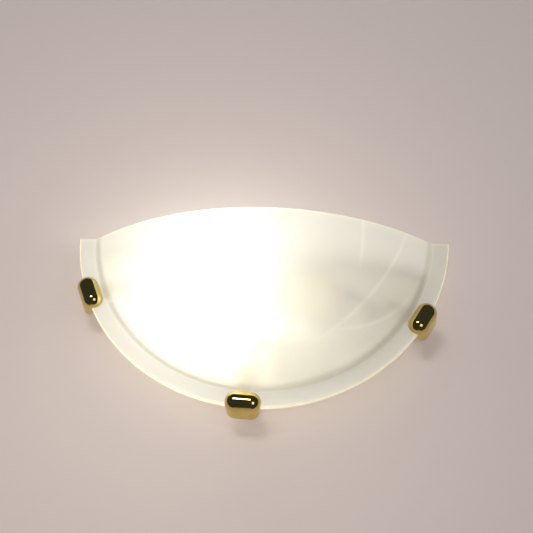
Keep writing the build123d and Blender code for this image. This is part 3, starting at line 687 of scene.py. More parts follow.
@dataclass
class GlassShade:
    """Half bowl of slumped satin glass with a flat flange and a ground level cut."""

    rim_radius: float = 150.0
    thickness: float = 5.0
    flange_back: float = 25.0
    dome_radius: float = 200.928
    dome_centre: float = -117.906
    root_radius: float = 6.0
    edge_radius: float = 0.8
    cut_drop: float = 1.5
    arris: float = 0.4
    dome_steps: int = 46
    root_steps: int = 10
    sweep_steps: int = 168
    edge_steps: int = 5
    satin: SatinGlass = field(default_factory=SatinGlass)
    edge: GroundEdge = field(default_factory=GroundEdge)

    def faces_of_dome(self) -> tuple[list[tuple[float, float]], list[tuple[float, float]]]:
        """Outer and inner half outlines from near the middle to the flange, point for point.

        Returns:
            Two lists of radius and distance out of the wall.
        """
        root_out = self.flange_back + self.thickness + self.root_radius
        reach = self.dome_radius + self.root_radius
        root_r = math.sqrt(reach**2 - (root_out - self.dome_centre) ** 2)
        last = math.atan2(root_r, root_out - self.dome_centre)
        first = math.asin((self.cut_drop + self.arris) / self.dome_radius)
        sides = []
        for inset in (0.0, self.thickness):
            sphere, root = self.dome_radius - inset, self.root_radius + inset
            line = [(sphere * math.sin(a), self.dome_centre + sphere * math.cos(a))
                    for a in (first + (last - first) * step / self.dome_steps
                              for step in range(self.dome_steps + 1))]
            for step in range(1, self.root_steps + 1):
                turn = last * (1 - step / self.root_steps)
                line.append((root_r - root * math.sin(turn), root_out - root * math.cos(turn)))
            flat = self.rim_radius - self.edge_radius
            line += [(root_r + (flat - root_r) * share, line[-1][1]) for share in (0.5, 1.0)]
            line[0] = (self.cut_drop + self.arris, line[0][1])
            sides.append(line)
        return sides[0], sides[1]

    def rim(self) -> list[tuple[float, float]]:
        """Outline of the rounded rim, from the front of the flange to its back."""
        centre_r = self.rim_radius - self.edge_radius
        front = self.flange_back + self.thickness - self.edge_radius
        back = self.flange_back + self.edge_radius
        line = []
        for middle, start in ((front, 90.0), (back, 0.0)):
            for step in range(self.edge_steps + 1):
                turn = math.radians(start - 90.0 * step / self.edge_steps)
                line.append((centre_r + self.edge_radius * math.cos(turn),
                             middle + self.edge_radius * math.sin(turn)))
        return line[1:-1]

    def build(self) -> bpy.types.Object:
        """Build the shade with its ground cut and tie it to the glass body.

        Returns:
            The finished piece.
        """
        outer, inner = self.faces_of_dome()
        rim = self.rim()
        outline = outer + rim + inner[::-1]
        count, last = len(outer), len(outline) - 1
        form = bmesh.new()
        rows, cuts = [], []
        for place, (radius, out) in enumerate(outline):
            level = math.asin(min(1.0, (self.cut_drop + self.arris) / radius))
            span = math.pi - 2 * level
            row = []
            for step in range(self.sweep_steps + 1):
                angle = -level - span * step / self.sweep_steps
                row.append(form.verts.new(LEVEL.at(radius * math.cos(angle), radius * math.sin(angle), out)))
            rows.append(row)
            before, after = outline[max(place - 1, 0)], outline[min(place + 1, last)]
            run = Vector((after[0] - before[0], after[1] - before[1])).normalized()
            inward = Vector((run.y, -run.x))
            if inward.dot(Vector((0.0, 1.0))) > 0 and place < count:
                inward = -inward
            cut_r, cut_out = radius + inward.x * self.arris, out + inward.y * self.arris
            half = 0.0 if place in (0, last) else math.sqrt(max(0.0, cut_r**2 - self.cut_drop**2))
            cuts.append([form.verts.new(LEVEL.at(side * half, -self.cut_drop, cut_out)) for side in (1, -1)])
        for place in range(last):
            for step in range(self.sweep_steps):
                face = form.faces.new((rows[place][step], rows[place][step + 1], rows[place + 1][step + 1],
                                       rows[place + 1][step]))
                face.material_index = int(count - 1 <= place < last - count + 1)
            for side, end in ((0, 0), (1, -1)):
                face = form.faces.new((rows[place][end], rows[place + 1][end], cuts[place + 1][side],
                                       cuts[place][side]))
                face.material_index = 1
        for side in (0, 1):
            for place in range(count - 1):
                face = form.faces.new((cuts[place][side], cuts[place + 1][side], cuts[last - place - 1][side],
                                       cuts[last - place][side]))
                face.material_index = 1
            form.faces.new([cuts[place][side] for place in range(count - 1, last - count + 2)]).material_index = 1
        piece = add_object("satin_glass_shade", finish_mesh(form, "satin_glass_shade"))
        for finish in (self.satin, self.edge):
            piece.data.materials.append(finish.make())
        return Standing("glass", "satin_glass", ("glass_shade",)).place(piece)


# Rim clips

class Side(Enum):
    """The three clips and the angle at which each stands on the pan."""

    LEFT = -155.0
    RIGHT = -25.0
    BOTTOM = -90.0

    @property
    def word(self) -> str:
        """The side's name as the frame has it."""
        return self.name.lower()


@dataclass
class ClipCap:
    """Drawn brass cap: a round nose over the flange and a straight skirt outside the rim."""

    side: Side
    nose_radius: float = 8.5
    nose_r: float = 147.0
    nose_out: float = 30.0
    floor_out: float = 18.0
    length: float = 28.5
    end_radius: float = 8.0
    corner_radius: float = 7.5
    wall: float = 1.0
    rim_radius: float = 150.3
    slot_top: float = 30.8
    nose_steps: int = 56
    end_steps: int = 18

    def at(self, radius: float, along: float, out: float) -> Vector:
        """Point at a radius, a distance along the rim and a distance out of the wall."""
        radial = PLATE.direction(self.side.value)
        tangent = PLATE.direction(self.side.value + 90)
        return PLATE.origin + (radial * radius + tangent * along + PLATE.out * out) * MM

    def bar(self, inset: float, floor: float, corner: float) -> bpy.types.Object:
        """Closed bar with a round nose and rounded ends: the outside at no inset, the hollow at one wall.

        Args:
            inset: How far inside the outer surface it lies.
            floor: Its lowest distance out of the wall.
            corner: Radius by which its floor rises at both ends.

        Returns:
            The bar as an object.
        """
        end = self.end_radius - inset
        straight = self.length / 2 - self.end_radius
        ends = [(straight + end * math.sin(turn), end * (1 - math.cos(turn)))
                for turn in (math.pi / 2 * step / self.end_steps for step in range(self.end_steps + 1))]
        stations = [(-along, pinch) for along, pinch in ends[::-1]] + ends
        rows = []
        for along, pinch in stations:
            radius = self.nose_radius - inset - pinch
            past = max(0.0, abs(along) - self.length / 2 + corner)
            low = floor + corner - math.sqrt(max(0.0, corner**2 - past**2))
            row = [self.at(self.nose_r + radius, along, low)]
            for step in range(self.nose_steps + 1):
                turn = math.pi * step / self.nose_steps
                row.append(self.at(self.nose_r + radius * math.cos(turn), along,
                                   self.nose_out + radius * math.sin(turn)))
            row.append(self.at(self.nose_r - radius, along, low))
            rows.append(row)
        form = lofted(rows, ring=True, loop=False)
        form.verts.ensure_lookup_table()
        width = len(rows[0])
        for start in (0, len(form.verts) - width):
            form.faces.new(form.verts[start:start + width])
        return add_object("cap_bar", finish_mesh(form, "cap_bar"))

    def slot(self) -> bpy.types.Object:
        """Block that clears the glass, the pad and everything inward of the rim."""
        inward, low = self.nose_r - 2 * self.nose_radius, self.floor_out - 2 * self.nose_radius
        corners = [[self.at(radius, along, out) for radius, out in
                    ((inward, low), (self.rim_radius, low), (self.rim_radius, self.slot_top),
                     (inward, self.slot_top))] for along in (-self.length, self.length)]
        form = lofted(corners, ring=True, loop=False)
        form.verts.ensure_lookup_table()
        for start in (0, 4):
            form.faces.new(form.verts[start:start + 4])
        return add_object("cap_slot", finish_mesh(form, "cap_slot"))

    def build(self, material: bpy.types.Material) -> bpy.types.Object:
        """Cut the hollow and the glass slot out of the bar and tie the cap to its clip.

        Args:
            material: The cap's finish.

        Returns:
            The finished piece.
        """
        outside = self.bar(0.0, self.floor_out, self.corner_radius)
        cutters = [self.bar(self.wall, self.floor_out - self.wall, 0.0), self.slot()]
        for cutter in cutters:
            cut = outside.modifiers.new("cut", "BOOLEAN")
            cut.operation, cut.solver, cut.object = "DIFFERENCE", "EXACT", cutter
        name = f"brass_cap_{self.side.word}"
        mesh = settled_mesh(outside, name)
        for spare in (outside, *cutters):
            bpy.data.objects.remove(spare)
        form = bmesh.new()
        form.from_mesh(mesh)
        piece = add_object(name, finish_mesh(form, name, sharp_angle=40.0))
        piece.data.materials.clear()
        piece.data.materials.append(material)
        return Standing(f"{self.side.word}_clip", "polished_brass", (f"clip_cap_{self.side.word}",)).place(piece)


@dataclass
class RimClips:
    """The three clips: polished caps over slotted brass arms with a soft channel for the glass."""

    def build(self) -> list[bpy.types.Object]:
        """Build the caps and dress the arms and pads.

        Returns:
            The three caps.
        """
        polished = POLISHED_BRASS.make()
        dress(BRASS_STRIP.make(), *(f"clip_arm_{side.word}" for side in Side))
        dress(SOFT_VINYL.make(), *(f"clip_pad_{side.word}" for side in Side))
        return [ClipCap(side).build(polished) for side in Side]


# Lamp

@dataclass
class Lamp:
    """Pear-shaped pearl lamp with a rolled screw cap, laid out along the lamp's axis."""

    bulb_radius: float = 27.5
    bulb_centre: float = -34.5
    neck_radius: float = 15.5
    neck_length: float = 39.0
    tail_radius: float = 12.3
    tail_length: float = 9.0
    wall: float = 0.8
    cap_mouth: float = 11.8
    cap_back: float = 33.8
    cap_radius: float = 13.2
    cap_wall: float = 0.4
    thread_pitch: float = 3.62
    thread_depth: float = 0.75
    turn_steps: int = 96
    arc_steps: int = 40

    def half_outline(self, inset: float) -> list[tuple[float, float]]:
        """Half outline of the bulb from its tip to its tail, at an inset from the outside."""
        blend = ((self.neck_length**2 + self.neck_radius**2 - self.bulb_radius**2)
                 / (2 * (self.bulb_radius - self.neck_radius)))
        lean = math.atan2(self.neck_radius + blend, self.neck_length)
        neck = self.bulb_centre + self.neck_length
        line = []
        for step in range(self.arc_steps + 1):
            turn = math.pi - (math.pi - lean) * step / self.arc_steps
            reach = self.bulb_radius - inset
            line.append((self.bulb_centre + reach * math.cos(turn), max(0.0, reach * math.sin(turn))))
        line[0] = (line[0][0], 0.0)
        for step in range(1, self.arc_steps // 2 + 1):
            turn = math.pi + lean + (math.pi / 2 - lean) * 2 * step / self.arc_steps
            reach = blend + inset
            line.append((neck + reach * math.cos(turn), self.neck_radius + blend + reach * math.sin(turn)))
        return line + [(self.cap_mouth, self.tail_radius - inset),
                       (neck + self.tail_length, self.tail_radius - inset)]

    def thread(self, along: float, share: float) -> float:
        """Depth of the rolled thread at a place along the cap and a share of a turn.

        Args:
            along: Place along the lamp's axis.
            share: Share of a full turn.

        Returns:
            Extra radius, none at the crest.
        """
        run = (along - self.cap_mouth - 4.0, self.cap_back - 1.5 - along)
        fade = max(0.0, min(1.0, run[0] / 2.0, run[1] / 1.0))
        wave = math.cos(math.tau * (along / self.thread_pitch - share))
        return -self.thread_depth * fade * (0.5 - 0.5 * wave)

    def build(self) -> list[bpy.types.Object]:
        """Build the bulb and its screw cap, and dress the small parts.

        Returns:
            The bulb and the cap.
        """
        outline = self.half_outline(0.0) + self.half_outline(self.wall)[::-1]
        bulb = add_object("pearl_bulb", finish_mesh(turned(LAMP, outline, self.turn_steps, loop=False), "pearl_bulb"))
        bulb.data.materials.append(LitLampGlass().make())
        Standing("lamp", "pearl_glass", ("lamp_envelope",)).place(bulb)
        steps = 132
        places = [self.cap_mouth + (self.cap_back - self.cap_mouth) * step / steps for step in range(steps + 1)]
        outline = [(place, self.cap_radius) for place in places]
        outline += [(place, self.cap_radius - self.cap_wall) for place in places[::-1]]
        cap = add_object("screw_cap", finish_mesh(turned(LAMP, outline, self.turn_steps, self.thread), "screw_cap"))
        cap.data.materials.append(CAP_ALUMINIUM.make())
        Standing("lamp", "lamp_cap_aluminium", ("lamp_cap",)).place(cap)
        for finish, node in ((BLACK_LAMP_GLASS, "lamp_cap_insulator"), (SOLDER, "lamp_contact"),
                             (STEM_GLASS, "lamp_stem"), (TUNGSTEN, "lamp_filament")):
            dress(finish.make(), node)
        return [bulb, cap]


# Lampholder

@dataclass
class Lampholder:
    """Moulded lampholder on its hollow threaded tube, with a rolled screw shell inside."""

    shell_radius: float = 13.5
    shell_wall: float = 0.5
    shell_back: float = 43.5
    shell_length: float = 20.0
    post_radius: float = 5.8
    thread_pitch: float = 3.62
    thread_depth: float = 0.6
    turn_steps: int = 96

    def thread(self, along: float, share: float) -> float:
        """Extra radius of the rolled thread, none at its inner crest."""
        run = (along - (self.shell_back - self.shell_length) - 1.0, self.shell_back - 2.0 - along)
        fade = max(0.0, min(1.0, run[0] / 1.5, run[1] / 1.5))
        return self.thread_depth * fade * (0.5 - 0.5 * math.cos(math.tau * (along / self.thread_pitch - share)))

    def build(self) -> bpy.types.Object:
        """Build the rolled screw shell and dress the moulded parts.

        Returns:
            The screw shell.
        """
        steps = 120
        front = self.shell_back - self.shell_length
        places = [front + self.shell_length * step / steps for step in range(steps + 1)]
        outer = [(place, self.shell_radius + self.shell_wall) for place in places]
        inner = [(min(place, self.shell_back - self.shell_wall), self.shell_radius) for place in places]
        floor = [(self.shell_back, self.post_radius), (self.shell_back - self.shell_wall, self.post_radius)]
        mesh = finish_mesh(turned(LAMP, outer + floor + inner[::-1], self.turn_steps, self.thread), "screw_shell")
        shell = add_object("screw_shell", mesh)
        brass = TURNED_BRASS.make()
        shell.data.materials.append(brass)
        Standing("back", "raw_brass", ("lampholder_screw_shell",)).place(shell)
        dress(CREAM_PHENOLIC.make(), "lampholder_back", "lampholder_skirt")
        dress(STEATITE.make(), "lampholder_insert")
        dress(brass, "lampholder_contact", "terminal_tubes")
        return shell


# Fasteners

def placing_tree() -> tuple[bpy.types.NodeTree, dict[str, str]]:
    """Geometry nodes that set one part on each point, each at its own small turn about its axis.

    Returns:
        The tree, and the identifier of each named input.
    """
    tree = bpy.data.node_groups.new("set_on_points", "GeometryNodeTree")
    kinds = {"Places": "NodeSocketGeometry", "Part": "NodeSocketObject", "Most turn": "NodeSocketFloat",
             "Seed": "NodeSocketInt", "Finish": "NodeSocketMaterial"}
    names = {name: tree.interface.new_socket(name, in_out="INPUT", socket_type=kind).identifier
             for name, kind in kinds.items()}
    tree.interface.new_socket("Set parts", in_out="OUTPUT", socket_type="NodeSocketGeometry")
    given = add_node(tree, "NodeGroupInput")
    least = add_node(tree, "ShaderNodeMath", {0: given.outputs["Most turn"], 1: -1.0}, operation="MULTIPLY")
    turn = add_node(tree, "FunctionNodeRandomValue", {2: least.outputs[0], 3: given.outputs["Most turn"],
                                                      "Seed": given.outputs["Seed"]}, data_type="FLOAT")
    angles = add_node(tree, "ShaderNodeCombineXYZ", {"Y": turn.outputs[1]})
    part = add_node(tree, "GeometryNodeObjectInfo", {"Object": given.outputs["Part"]})
    placed = add_node(tree, "GeometryNodeInstanceOnPoints",
                      {"Points": given.outputs["Places"], "Instance": part.outputs["Geometry"],
                       "Rotation": angles.outputs[0]})
    whole = add_node(tree, "GeometryNodeRealizeInstances", {"Geometry": placed.outputs["Instances"]})
    dressed = add_node(tree, "GeometryNodeSetMaterial", {"Geometry": whole.outputs["Geometry"],
                                                         "Material": given.outputs["Finish"]})
    add_node(tree, "NodeGroupOutput", {"Set parts": dressed.outputs["Geometry"]})
    return tree, names


@dataclass
class Fasteners:
    """The pan's weld studs with their washers and nuts, and the terminal block's grub screws."""

    ring_radius: float = 104.0
    clamp_arm: float = 1.2
    clamp_bracket: float = 1.5
    clamp_tag: float = 0.8
    plate: float = 0.8
    washer_radius: float = 4.5
    washer: float = 0.8
    stud_radius: float = 2.0
    stud_length: float = 8.0
    stud_pitch: float = 0.7
    nut_flats: float = 7.0
    nut: float = 3.2
    bracket_studs: tuple[tuple[float, float], ...] = ((51.0, -50.0), (63.0, -50.0))
    earth_stud: tuple[float, float] = (64.0, -98.0)
    block: tuple[float, float] = (24.5, -95.0)
    way_pitch: float = 12.0
    tower_offset: float = 4.1
    screw_radius: float = 1.5
    screw_length: float = 6.5
    screw_seat: float = 8.25
    screw_slot: float = 0.8
    seed: int = 7

    def __post_init__(self) -> None:
        """Work out where each stud stands and how much it clamps."""
        own = Axes(Vector((0, 0, 0)), PLATE.out, PLATE.across, PLATE.up)
        self.template_axes = own
        self.tree, self.names = placing_tree()
        clips = [(self.ring_radius * math.cos(math.radians(side.value)),
                  self.ring_radius * math.sin(math.radians(side.value)), self.clamp_arm) for side in Side]
        brackets = [(*place, self.clamp_bracket) for place in self.bracket_studs]
        self.stacks = clips + brackets + [(*self.earth_stud, self.clamp_tag)]

    def set_out(self, name: str, part: bmesh.types.BMesh, places: list[Vector], most_turn: float,
                material: bpy.types.Material, standing: Standing) -> bpy.types.Object:
        """Set copies of a part on places with the geometry nodes and keep the result as one mesh.

        Args:
            name: Name of the new piece.
            part: The part, built about the origin.
            places: Where the copies go.
            most_turn: Largest turn about the part's own axis, in degrees.
            material: The part's finish.
            standing: Its body, slot and nodes.

        Returns:
            The finished piece.
        """
        template = add_object(f"{name}_template", finish_mesh(part, f"{name}_template"))
        points = bpy.data.meshes.new(f"{name}_places")
        points.from_pydata([tuple(place) for place in places], [], [])
        holder = add_object(f"{name}_places", points)
        nodes = holder.modifiers.new("set_on_points", "NODES")
        nodes.node_group = self.tree
        for key, value in (("Part", template), ("Most turn", math.radians(most_turn)), ("Seed", self.seed),
                           ("Finish", material)):
            nodes[self.names[key]] = value
        mesh = settled_mesh(holder, name)
        for spare in (holder, template):
            bpy.data.objects.remove(spare)
        return standing.place(add_object(name, mesh))

    def nut_form(self) -> bmesh.types.BMesh:
        """Hexagon nut with its corners turned off on both faces, and a countersunk bore."""
        steps = 72
        bore = self.stud_radius + 0.05
        flat = self.nut_flats / 2
        turned_off = flat * 0.97
        rows: list[list[Vector]] = [[] for _ in range(8)]
        for step in range(steps):
            turn = math.tau * step / steps
            corner = math.radians((math.degrees(turn) + 30) % 60 - 30)
            reach = flat / math.cos(corner)
            drop = max(0.0, reach - turned_off) * math.tan(math.radians(30))
            sink = 0.3
            ring = ((0.0, bore + sink), (0.0, turned_off), (drop, reach), (self.nut - drop, reach),
                    (self.nut, turned_off), (self.nut, bore + sink), (self.nut - sink, bore), (sink, bore))
            for row, (height, radius) in zip(rows, ring):
                row.append(self.template_axes.at(height, radius * math.cos(turn), radius * math.sin(turn)))
        return lofted(rows, ring=True, loop=True)

    def stud_form(self) -> bmesh.types.BMesh:
        """Rolled stud thread with a pointed end and a small weld flange at its foot."""
        places = [self.stud_length * step / 96 for step in range(97)]
        outline = [(0.0, 0.0), (0.0, self.stud_radius)]
        outline += [(place, self.stud_radius) for place in places[3:-3]]
        outline += [(self.stud_length, self.stud_radius - 0.4), (self.stud_length, 0.0)]

        def groove(along: float, share: float) -> float:
            """Depth of the rolled thread."""
            fade = max(0.0, min(1.0, (along - 0.8) / 0.5, (self.stud_length - 0.3 - along) / 0.3))
            return -0.3 * fade * (0.5 - 0.5 * math.cos(math.tau * (along / self.stud_pitch - share)))

        return turned(self.template_axes, outline, 40, groove, loop=False)

    def washer_form(self) -> bmesh.types.BMesh:
        """Stamped washer with softly rounded edges."""
        bore, edge = self.stud_radius + 0.15, 0.15
        outline = [(0.0, bore), (0.0, self.washer_radius - edge), (edge, self.washer_radius),
                   (self.washer - edge, self.washer_radius), (self.washer, self.washer_radius - edge),
                   (self.washer, bore + edge), (self.washer - edge, bore)]
        return turned(self.template_axes, outline, 64)

    def screw_form(self) -> bmesh.types.BMesh:
        """Slotted grub screw of a terminal: a threaded pin whose head ends in two lands beside the slot."""
        places = [self.screw_length * step / 60 for step in range(61)]
        depth = 1.0

        def groove(along: float, share: float) -> float:
            """Depth of the cut thread."""
            fade = max(0.0, min(1.0, (along - 0.6) / 0.4, (self.screw_length - 1.4 - along) / 0.4))
            return -0.2 * fade * (0.5 - 0.5 * math.cos(math.tau * (along / 0.5 - share)))

        outline = [(0.0, 0.0), (0.0, self.screw_radius - 0.2)]
        outline += [(place, self.screw_radius) for place in places[2:]]
        outline += [(self.screw_length, 0.0)]
        pin = add_object("pin", finish_mesh(turned(self.template_axes, outline, 40, groove, loop=False), "pin"))
        half, reach = self.screw_slot / 2, 2 * self.screw_radius
        block = [[self.template_axes.at(height, side * half, way * reach)
                  for side, way in ((-1, -1), (1, -1), (1, 1), (-1, 1))]
                 for height in (self.screw_length - depth, self.screw_length + depth)]
        form = lofted(block, ring=True, loop=False)
        form.verts.ensure_lookup_table()
        for start in (0, 4):
            form.faces.new(form.verts[start:start + 4])
        cutter = add_object("slot", finish_mesh(form, "slot"))
        cut = pin.modifiers.new("cut", "BOOLEAN")
        cut.operation, cut.solver, cut.object = "DIFFERENCE", "EXACT", cutter
        result = bmesh.new()
        result.from_mesh(settled_mesh(pin, "slotted"))
        for spare in (pin, cutter):
            bpy.data.objects.remove(spare)
        return result

    def build(self) -> list[bpy.types.Object]:
        """Build studs, washers, nuts and grub screws.

        Returns:
            The four pieces.
        """
        zinc = ZINC_STEEL.make()
        studs = [PLATE.at(across, up, self.plate) for across, up, _ in self.stacks]
        washers = [PLATE.at(across, up, self.plate + clamp) for across, up, clamp in self.stacks]
        nuts = [PLATE.at(across, up, self.plate + clamp + self.washer) for across, up, clamp in self.stacks]
        screws = [PLATE.at(self.block[0] + side * self.tower_offset, self.block[1] + row * self.way_pitch,
                           self.screw_seat) for row in (-1, 0, 1) for side in (-1, 1)]

        def standing(node: str) -> Standing:
            """These stand on the back and are zinc-plated steel."""
            return Standing("back", "zinc_steel", (node,))

        made = [
            self.set_out("weld_studs", self.stud_form(), studs, 0.0, zinc, standing("plate_studs")),
            self.set_out("washers", self.washer_form(), washers, 0.0, zinc, standing("stud_washers")),
            self.set_out("hexagon_nuts", self.nut_form(), nuts, 30.0, zinc, standing("stud_nuts")),
            self.set_out("grub_screws", self.screw_form(), screws, 70.0, zinc, standing("terminal_screws")),
        ]
        dress(zinc, "lamp_bracket", "block_screw")
        return made


@dataclass
class TubeAndNuts:
    """The hollow M10 tube through the bracket, with its fine thread and its two lock nuts."""

    radius: float = 5.0
    bore: float = 3.6
    start: float = 60.5
    end: float = 77.5
    pitch: float = 1.0
    nut_flats: float = 14.0
    nut: float = 2.5
    seats: tuple[float, float] = (67.5, 71.5)

    def build(self) -> list[bpy.types.Object]:
        """Build the tube and its lock nuts.

        Returns:
            The tube and the nuts.
        """
        places = [self.start + (self.end - self.start) * step / 204 for step in range(205)]

        def groove(along: float, share: float) -> float:
            """Depth of the fine thread outside, nothing in the bore."""
            fade = max(0.0, min(1.0, (along - self.start - 0.4) / 0.4, (self.end - 0.4 - along) / 0.4))
            return -0.35 * fade * (0.5 - 0.5 * math.cos(math.tau * (along / self.pitch - share)))

        edge = 0.4
        rows = []
        steps = 64
        outline = [(self.start, self.radius - edge, False)]
        outline += [(place, self.radius, True) for place in places[5:-5]]
        outline += [(self.end, self.radius - edge, False), (self.end, self.bore, False),
                    (self.start, self.bore, False)]
        for along, radius, threaded in outline:
            row = []
            for step in range(steps):
                reach = radius + (groove(along, step / steps) if threaded else 0.0)
                turn = math.tau * step / steps
                row.append(LAMP.at(along, reach * math.cos(turn), reach * math.sin(turn)))
            rows.append(row)
        brass = TURNED_BRASS.make()
        tube = add_object("threaded_tube_m10", finish_mesh(lofted(rows, ring=True, loop=True), "threaded_tube_m10"))
        tube.data.materials.append(brass)
        Standing("back", "raw_brass", ("threaded_tube",)).place(tube)
        whole = bmesh.new()
        for number, seat in enumerate(self.seats):
            piece = self.nut_rows(seat, 17.0 * number)
            part = bpy.data.meshes.new("lock_nut")
            piece.to_mesh(part)
            piece.free()
            whole.from_mesh(part)
            bpy.data.meshes.remove(part)
        nuts = add_object("lock_nuts_m10", finish_mesh(whole, "lock_nuts_m10"))
        nuts.data.materials.append(brass)
        Standing("back", "raw_brass", ("lock_nuts",)).place(nuts)
        return [tube, nuts]

    def nut_rows(self, seat: float, clocking: float) -> bmesh.types.BMesh:
        """Thin hexagon lock nut with its corners turned off.

        Args:
            seat: Place of its back along the lamp's axis.
            clocking: Angle by which it has been screwed round, in degrees.

        Returns:
            The nut's mesh.
        """
        steps, bore, sink = 72, self.radius + 0.05, 0.35
        flat = self.nut_flats / 2
        turned_off = flat * 0.97
        rows: list[list[Vector]] = [[] for _ in range(8)]
        for step in range(steps):
            turn = math.tau * step / steps
            corner = math.radians((math.degrees(turn) + 30) % 60 - 30)
            reach = flat / math.cos(corner)
            drop = max(0.0, reach - turned_off) * math.tan(math.radians(30))
            shown = turn + math.radians(clocking)
            ring = ((0.0, bore + sink), (0.0, turned_off), (drop, reach), (self.nut - drop, reach),
                    (self.nut, turned_off), (self.nut, bore + sink), (self.nut - sink, bore), (sink, bore))
            for row, (height, radius) in zip(rows, ring):
                row.append(LAMP.at(seat + height, radius * math.cos(shown), radius * math.sin(shown)))
        return lofted(rows, ring=True, loop=True)


# Wiring and pan

@dataclass
class Pan:
    """The pressed pan, its terminal block, earth tag, grommet and leads."""

    def build(self) -> None:
        """Dress the parts whose CAD shape is right."""
        for finish, node in ((POWDER_COAT, "back_plate"), (NATURAL_NYLON, "terminal_block"),
                             (TINNED_BRASS, "earth_tag"), (BLACK_RUBBER, "cable_grommet"),
                             (BROWN_SLEEVE, "wire_live"), (BLUE_SLEEVE, "wire_neutral")):
            dress(finish.make(), node)
        dress(striped(GREEN_SLEEVE.make(), "e4cf2a"), "wire_earth")


# Stage, lamps and camera

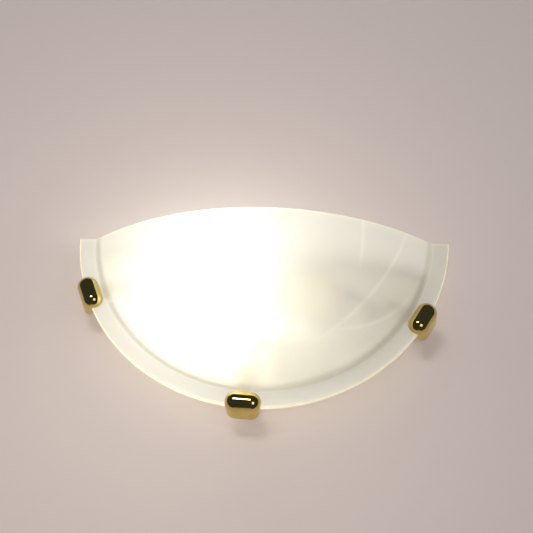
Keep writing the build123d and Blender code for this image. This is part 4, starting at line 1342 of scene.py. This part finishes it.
@dataclass
class Studio:
    """Pale wall and floor, soft lamps at a plain level and the photograph's camera."""

    lens: float = 121.46
    sensor: float = 36.0
    roll: float = 2.584
    pitch: float = 29.709
    yaw: float = -3.437
    place: tuple[float, float, float] = (80.33, -1286.7, -721.55)
    wall_colour: str = "cdc4c4"
    floor_colour: str = "e6dfd9"
    wall_gap: float = 0.6
    pool_angle: float = 20.0
    pool_watts: float = 70.0
    reach: float = 7000.0
    floor_drop: float = 1300.0

    def camera(self) -> None:
        """Set the camera at the photograph's place, square to nothing, as the fit gives it."""
        roll, pitch, yaw = (math.radians(angle) for angle in (self.roll, self.pitch, self.yaw))
        forward = Vector((math.sin(yaw) * math.cos(pitch), math.cos(yaw) * math.cos(pitch), math.sin(pitch)))
        right = Vector((math.cos(yaw), -math.sin(yaw), 0.0))
        up = right.cross(forward)
        turned_right = right * math.cos(roll) + up * math.sin(roll)
        turned_up = up * math.cos(roll) - right * math.sin(roll)
        data = bpy.data.cameras.new("photo_camera")
        data.lens, data.sensor_width = self.lens, self.sensor
        data.clip_start, data.clip_end = 0.05, 60.0
        seen = bpy.data.objects.new("photo_camera", data)
        bpy.context.scene.collection.objects.link(seen)
        columns = (turned_right, turned_up, -forward)
        turning = Matrix([[column[row] for column in columns] for row in range(3)]).to_4x4()
        seen.matrix_world = Matrix.Translation(Vector(self.place) * MM) @ turning
        bpy.context.scene.camera = seen

    def plain(self, name: str, colour: str, one_sided: bool) -> bpy.types.Material:
        """Matt paint for the stage.

        Args:
            name: Name of the material.
            colour: sRGB hex colour.
            one_sided: Whether it is seen only from its front, and lets the lamps through.

        Returns:
            The material.
        """
        material = bpy.data.materials.new(name)
        material.use_nodes = True
        tree = material.node_tree
        shader = tree.nodes["Principled BSDF"]
        shader.inputs["Base Color"].default_value = linear(colour)
        shader.inputs["Roughness"].default_value = 0.75
        shader.inputs["Specular IOR Level"].default_value = 0.2
        if one_sided:
            path = add_node(tree, "ShaderNodeLightPath").outputs
            behind = add_node(tree, "ShaderNodeNewGeometry").outputs["Backfacing"]
            hidden = behind
            for ray in ("Is Shadow Ray", "Is Diffuse Ray"):
                hidden = add_node(tree, "ShaderNodeMath", {0: hidden, 1: path[ray]},
                                  operation="MAXIMUM").outputs[0]
            clear = add_node(tree, "ShaderNodeBsdfTransparent")
            mixed = add_node(tree, "ShaderNodeMixShader", {0: hidden, 1: shader.outputs[0],
                                                           2: clear.outputs[0]})
            tree.links.new(mixed.outputs[0], tree.nodes["Material Output"].inputs["Surface"])
        return material

    def sheet(self, name: str, corners: Sequence[Vector], material: bpy.types.Material) -> bpy.types.Object:
        """Flat stage sheet with its front towards the side that its corners run round.

        Args:
            name: Name of the sheet.
            corners: Its four corners in metres.
            material: Its paint.

        Returns:
            The sheet.
        """
        mesh = bpy.data.meshes.new(name)
        mesh.from_pydata([tuple(corner) for corner in corners], [], [(0, 1, 2, 3)])
        mesh.materials.append(material)
        made = add_object(name, mesh)
        return made

    def stage(self) -> None:
        """Build the wall, the floor and the dark room that only the polished metal mirrors."""
        reach, gap, drop = self.reach * MM, self.wall_gap * MM, -self.floor_drop * MM
        wall = [Vector((-reach, gap, drop)), Vector((reach, gap, drop)), Vector((reach, gap, reach)),
                Vector((-reach, gap, reach))]
        floor = [Vector((-reach, -reach, drop)), Vector((reach, -reach, drop)), Vector((reach, reach, drop)),
                 Vector((-reach, reach, drop))]
        self.sheet("studio_wall", wall, self.plain("wall_paint_matt", self.wall_colour, True))
        ground = self.sheet("studio_floor", floor, self.plain("floor_paint_matt", self.floor_colour, False))
        ground.visible_glossy = False
        room = bpy.data.materials.new("room_dark")
        room.use_nodes = True
        tree = room.node_tree
        shade = add_node(tree, "ShaderNodeEmission", {"Color": linear("4a5058"), "Strength": 0.6})
        tree.links.new(shade.outputs[0], tree.nodes["Material Output"].inputs["Surface"])
        rows = []
        for step in range(13):
            lean = math.radians(-78 + 13 * step)
            row = []
            for turn_step in range(25):
                turn = math.radians(180 + 7.5 * turn_step)
                row.append(Vector((math.cos(turn) * math.cos(lean), math.sin(turn) * math.cos(lean),
                                   math.sin(lean))) * 4.0)
            rows.append(row)
        dome = add_object("room_behind_camera", finish_mesh(lofted(rows, ring=False, loop=False), "room"))
        dome.data.materials.append(room)
        for seen in ("visible_camera", "visible_diffuse", "visible_transmission", "visible_volume_scatter",
                     "visible_shadow"):
            setattr(dome, seen, False)

    def lamp(self, name: str, place: tuple[float, float, float], size: tuple[float, float], watts: float,
             colour: str) -> None:
        """Soft rectangular lamp that faces the wall light.

        Args:
            name: Name of the lamp.
            place: Its place in metres.
            size: Its width and height in metres.
            watts: Its power.
            colour: sRGB hex colour.
        """
        data = bpy.data.lights.new(name, "AREA")
        data.shape, data.size, data.size_y = "RECTANGLE", *size
        data.energy = watts
        data.color = linear(colour)[:3]
        lit = bpy.data.objects.new(name, data)
        bpy.context.scene.collection.objects.link(lit)
        lit.location = place
        lit.rotation_euler = (Vector((0, 0, -0.04)) - Vector(place)).to_track_quat("-Z", "Y").to_euler()

    def light(self) -> None:
        """Set the lamps and an even world."""
        self.lamp("window", (-0.5, -2.7, 0.5), (0.9, 0.4), 18.0, "fffaf2")
        self.lamp("fill", (1.3, -2.3, -1.1), (1.2, 1.2), 8.0, "f6f3ff")
        self.lamp("back", (-0.6, 2.6, 0.7), (1.6, 1.2), 28.0, "ffffff")
        pool = bpy.data.lights.new("warm_pool", "SPOT")
        pool.spot_size, pool.spot_blend, pool.shadow_soft_size = math.radians(self.pool_angle), 1.0, 0.25
        pool.energy, pool.color = self.pool_watts, linear("fff0d8")[:3]
        lit = bpy.data.objects.new("warm_pool", pool)
        bpy.context.scene.collection.objects.link(lit)
        lit.location = (0.0, -1.9, -1.0)
        lit.rotation_euler = (Vector((-0.08, 0.0, -0.06)) - lit.location).to_track_quat("-Z", "Y").to_euler()
        lit.visible_glossy = False
        world = bpy.data.worlds.new("even_room_light")
        bpy.context.scene.world = world
        world.use_nodes = True
        background = world.node_tree.nodes["Background"]
        background.inputs["Color"].default_value = linear("f4f1f0")
        background.inputs["Strength"].default_value = 0.46

    def build(self) -> None:
        """Build camera, stage and lamps, and set the plain view transform."""
        self.camera()
        self.stage()
        self.light()
        bpy.context.scene.view_settings.view_transform = "Standard"


def main() -> None:
    """Build every sub-assembly in order and report each piece."""
    logging.basicConfig(level=logging.INFO, format="%(message)s")
    Studio().build()
    Pan().build()
    Fasteners().build()
    TubeAndNuts().build()
    Lampholder().build()
    Lamp().build()
    GlassShade().build()
    RimClips().build()


if __name__ == "__main__":
    main()
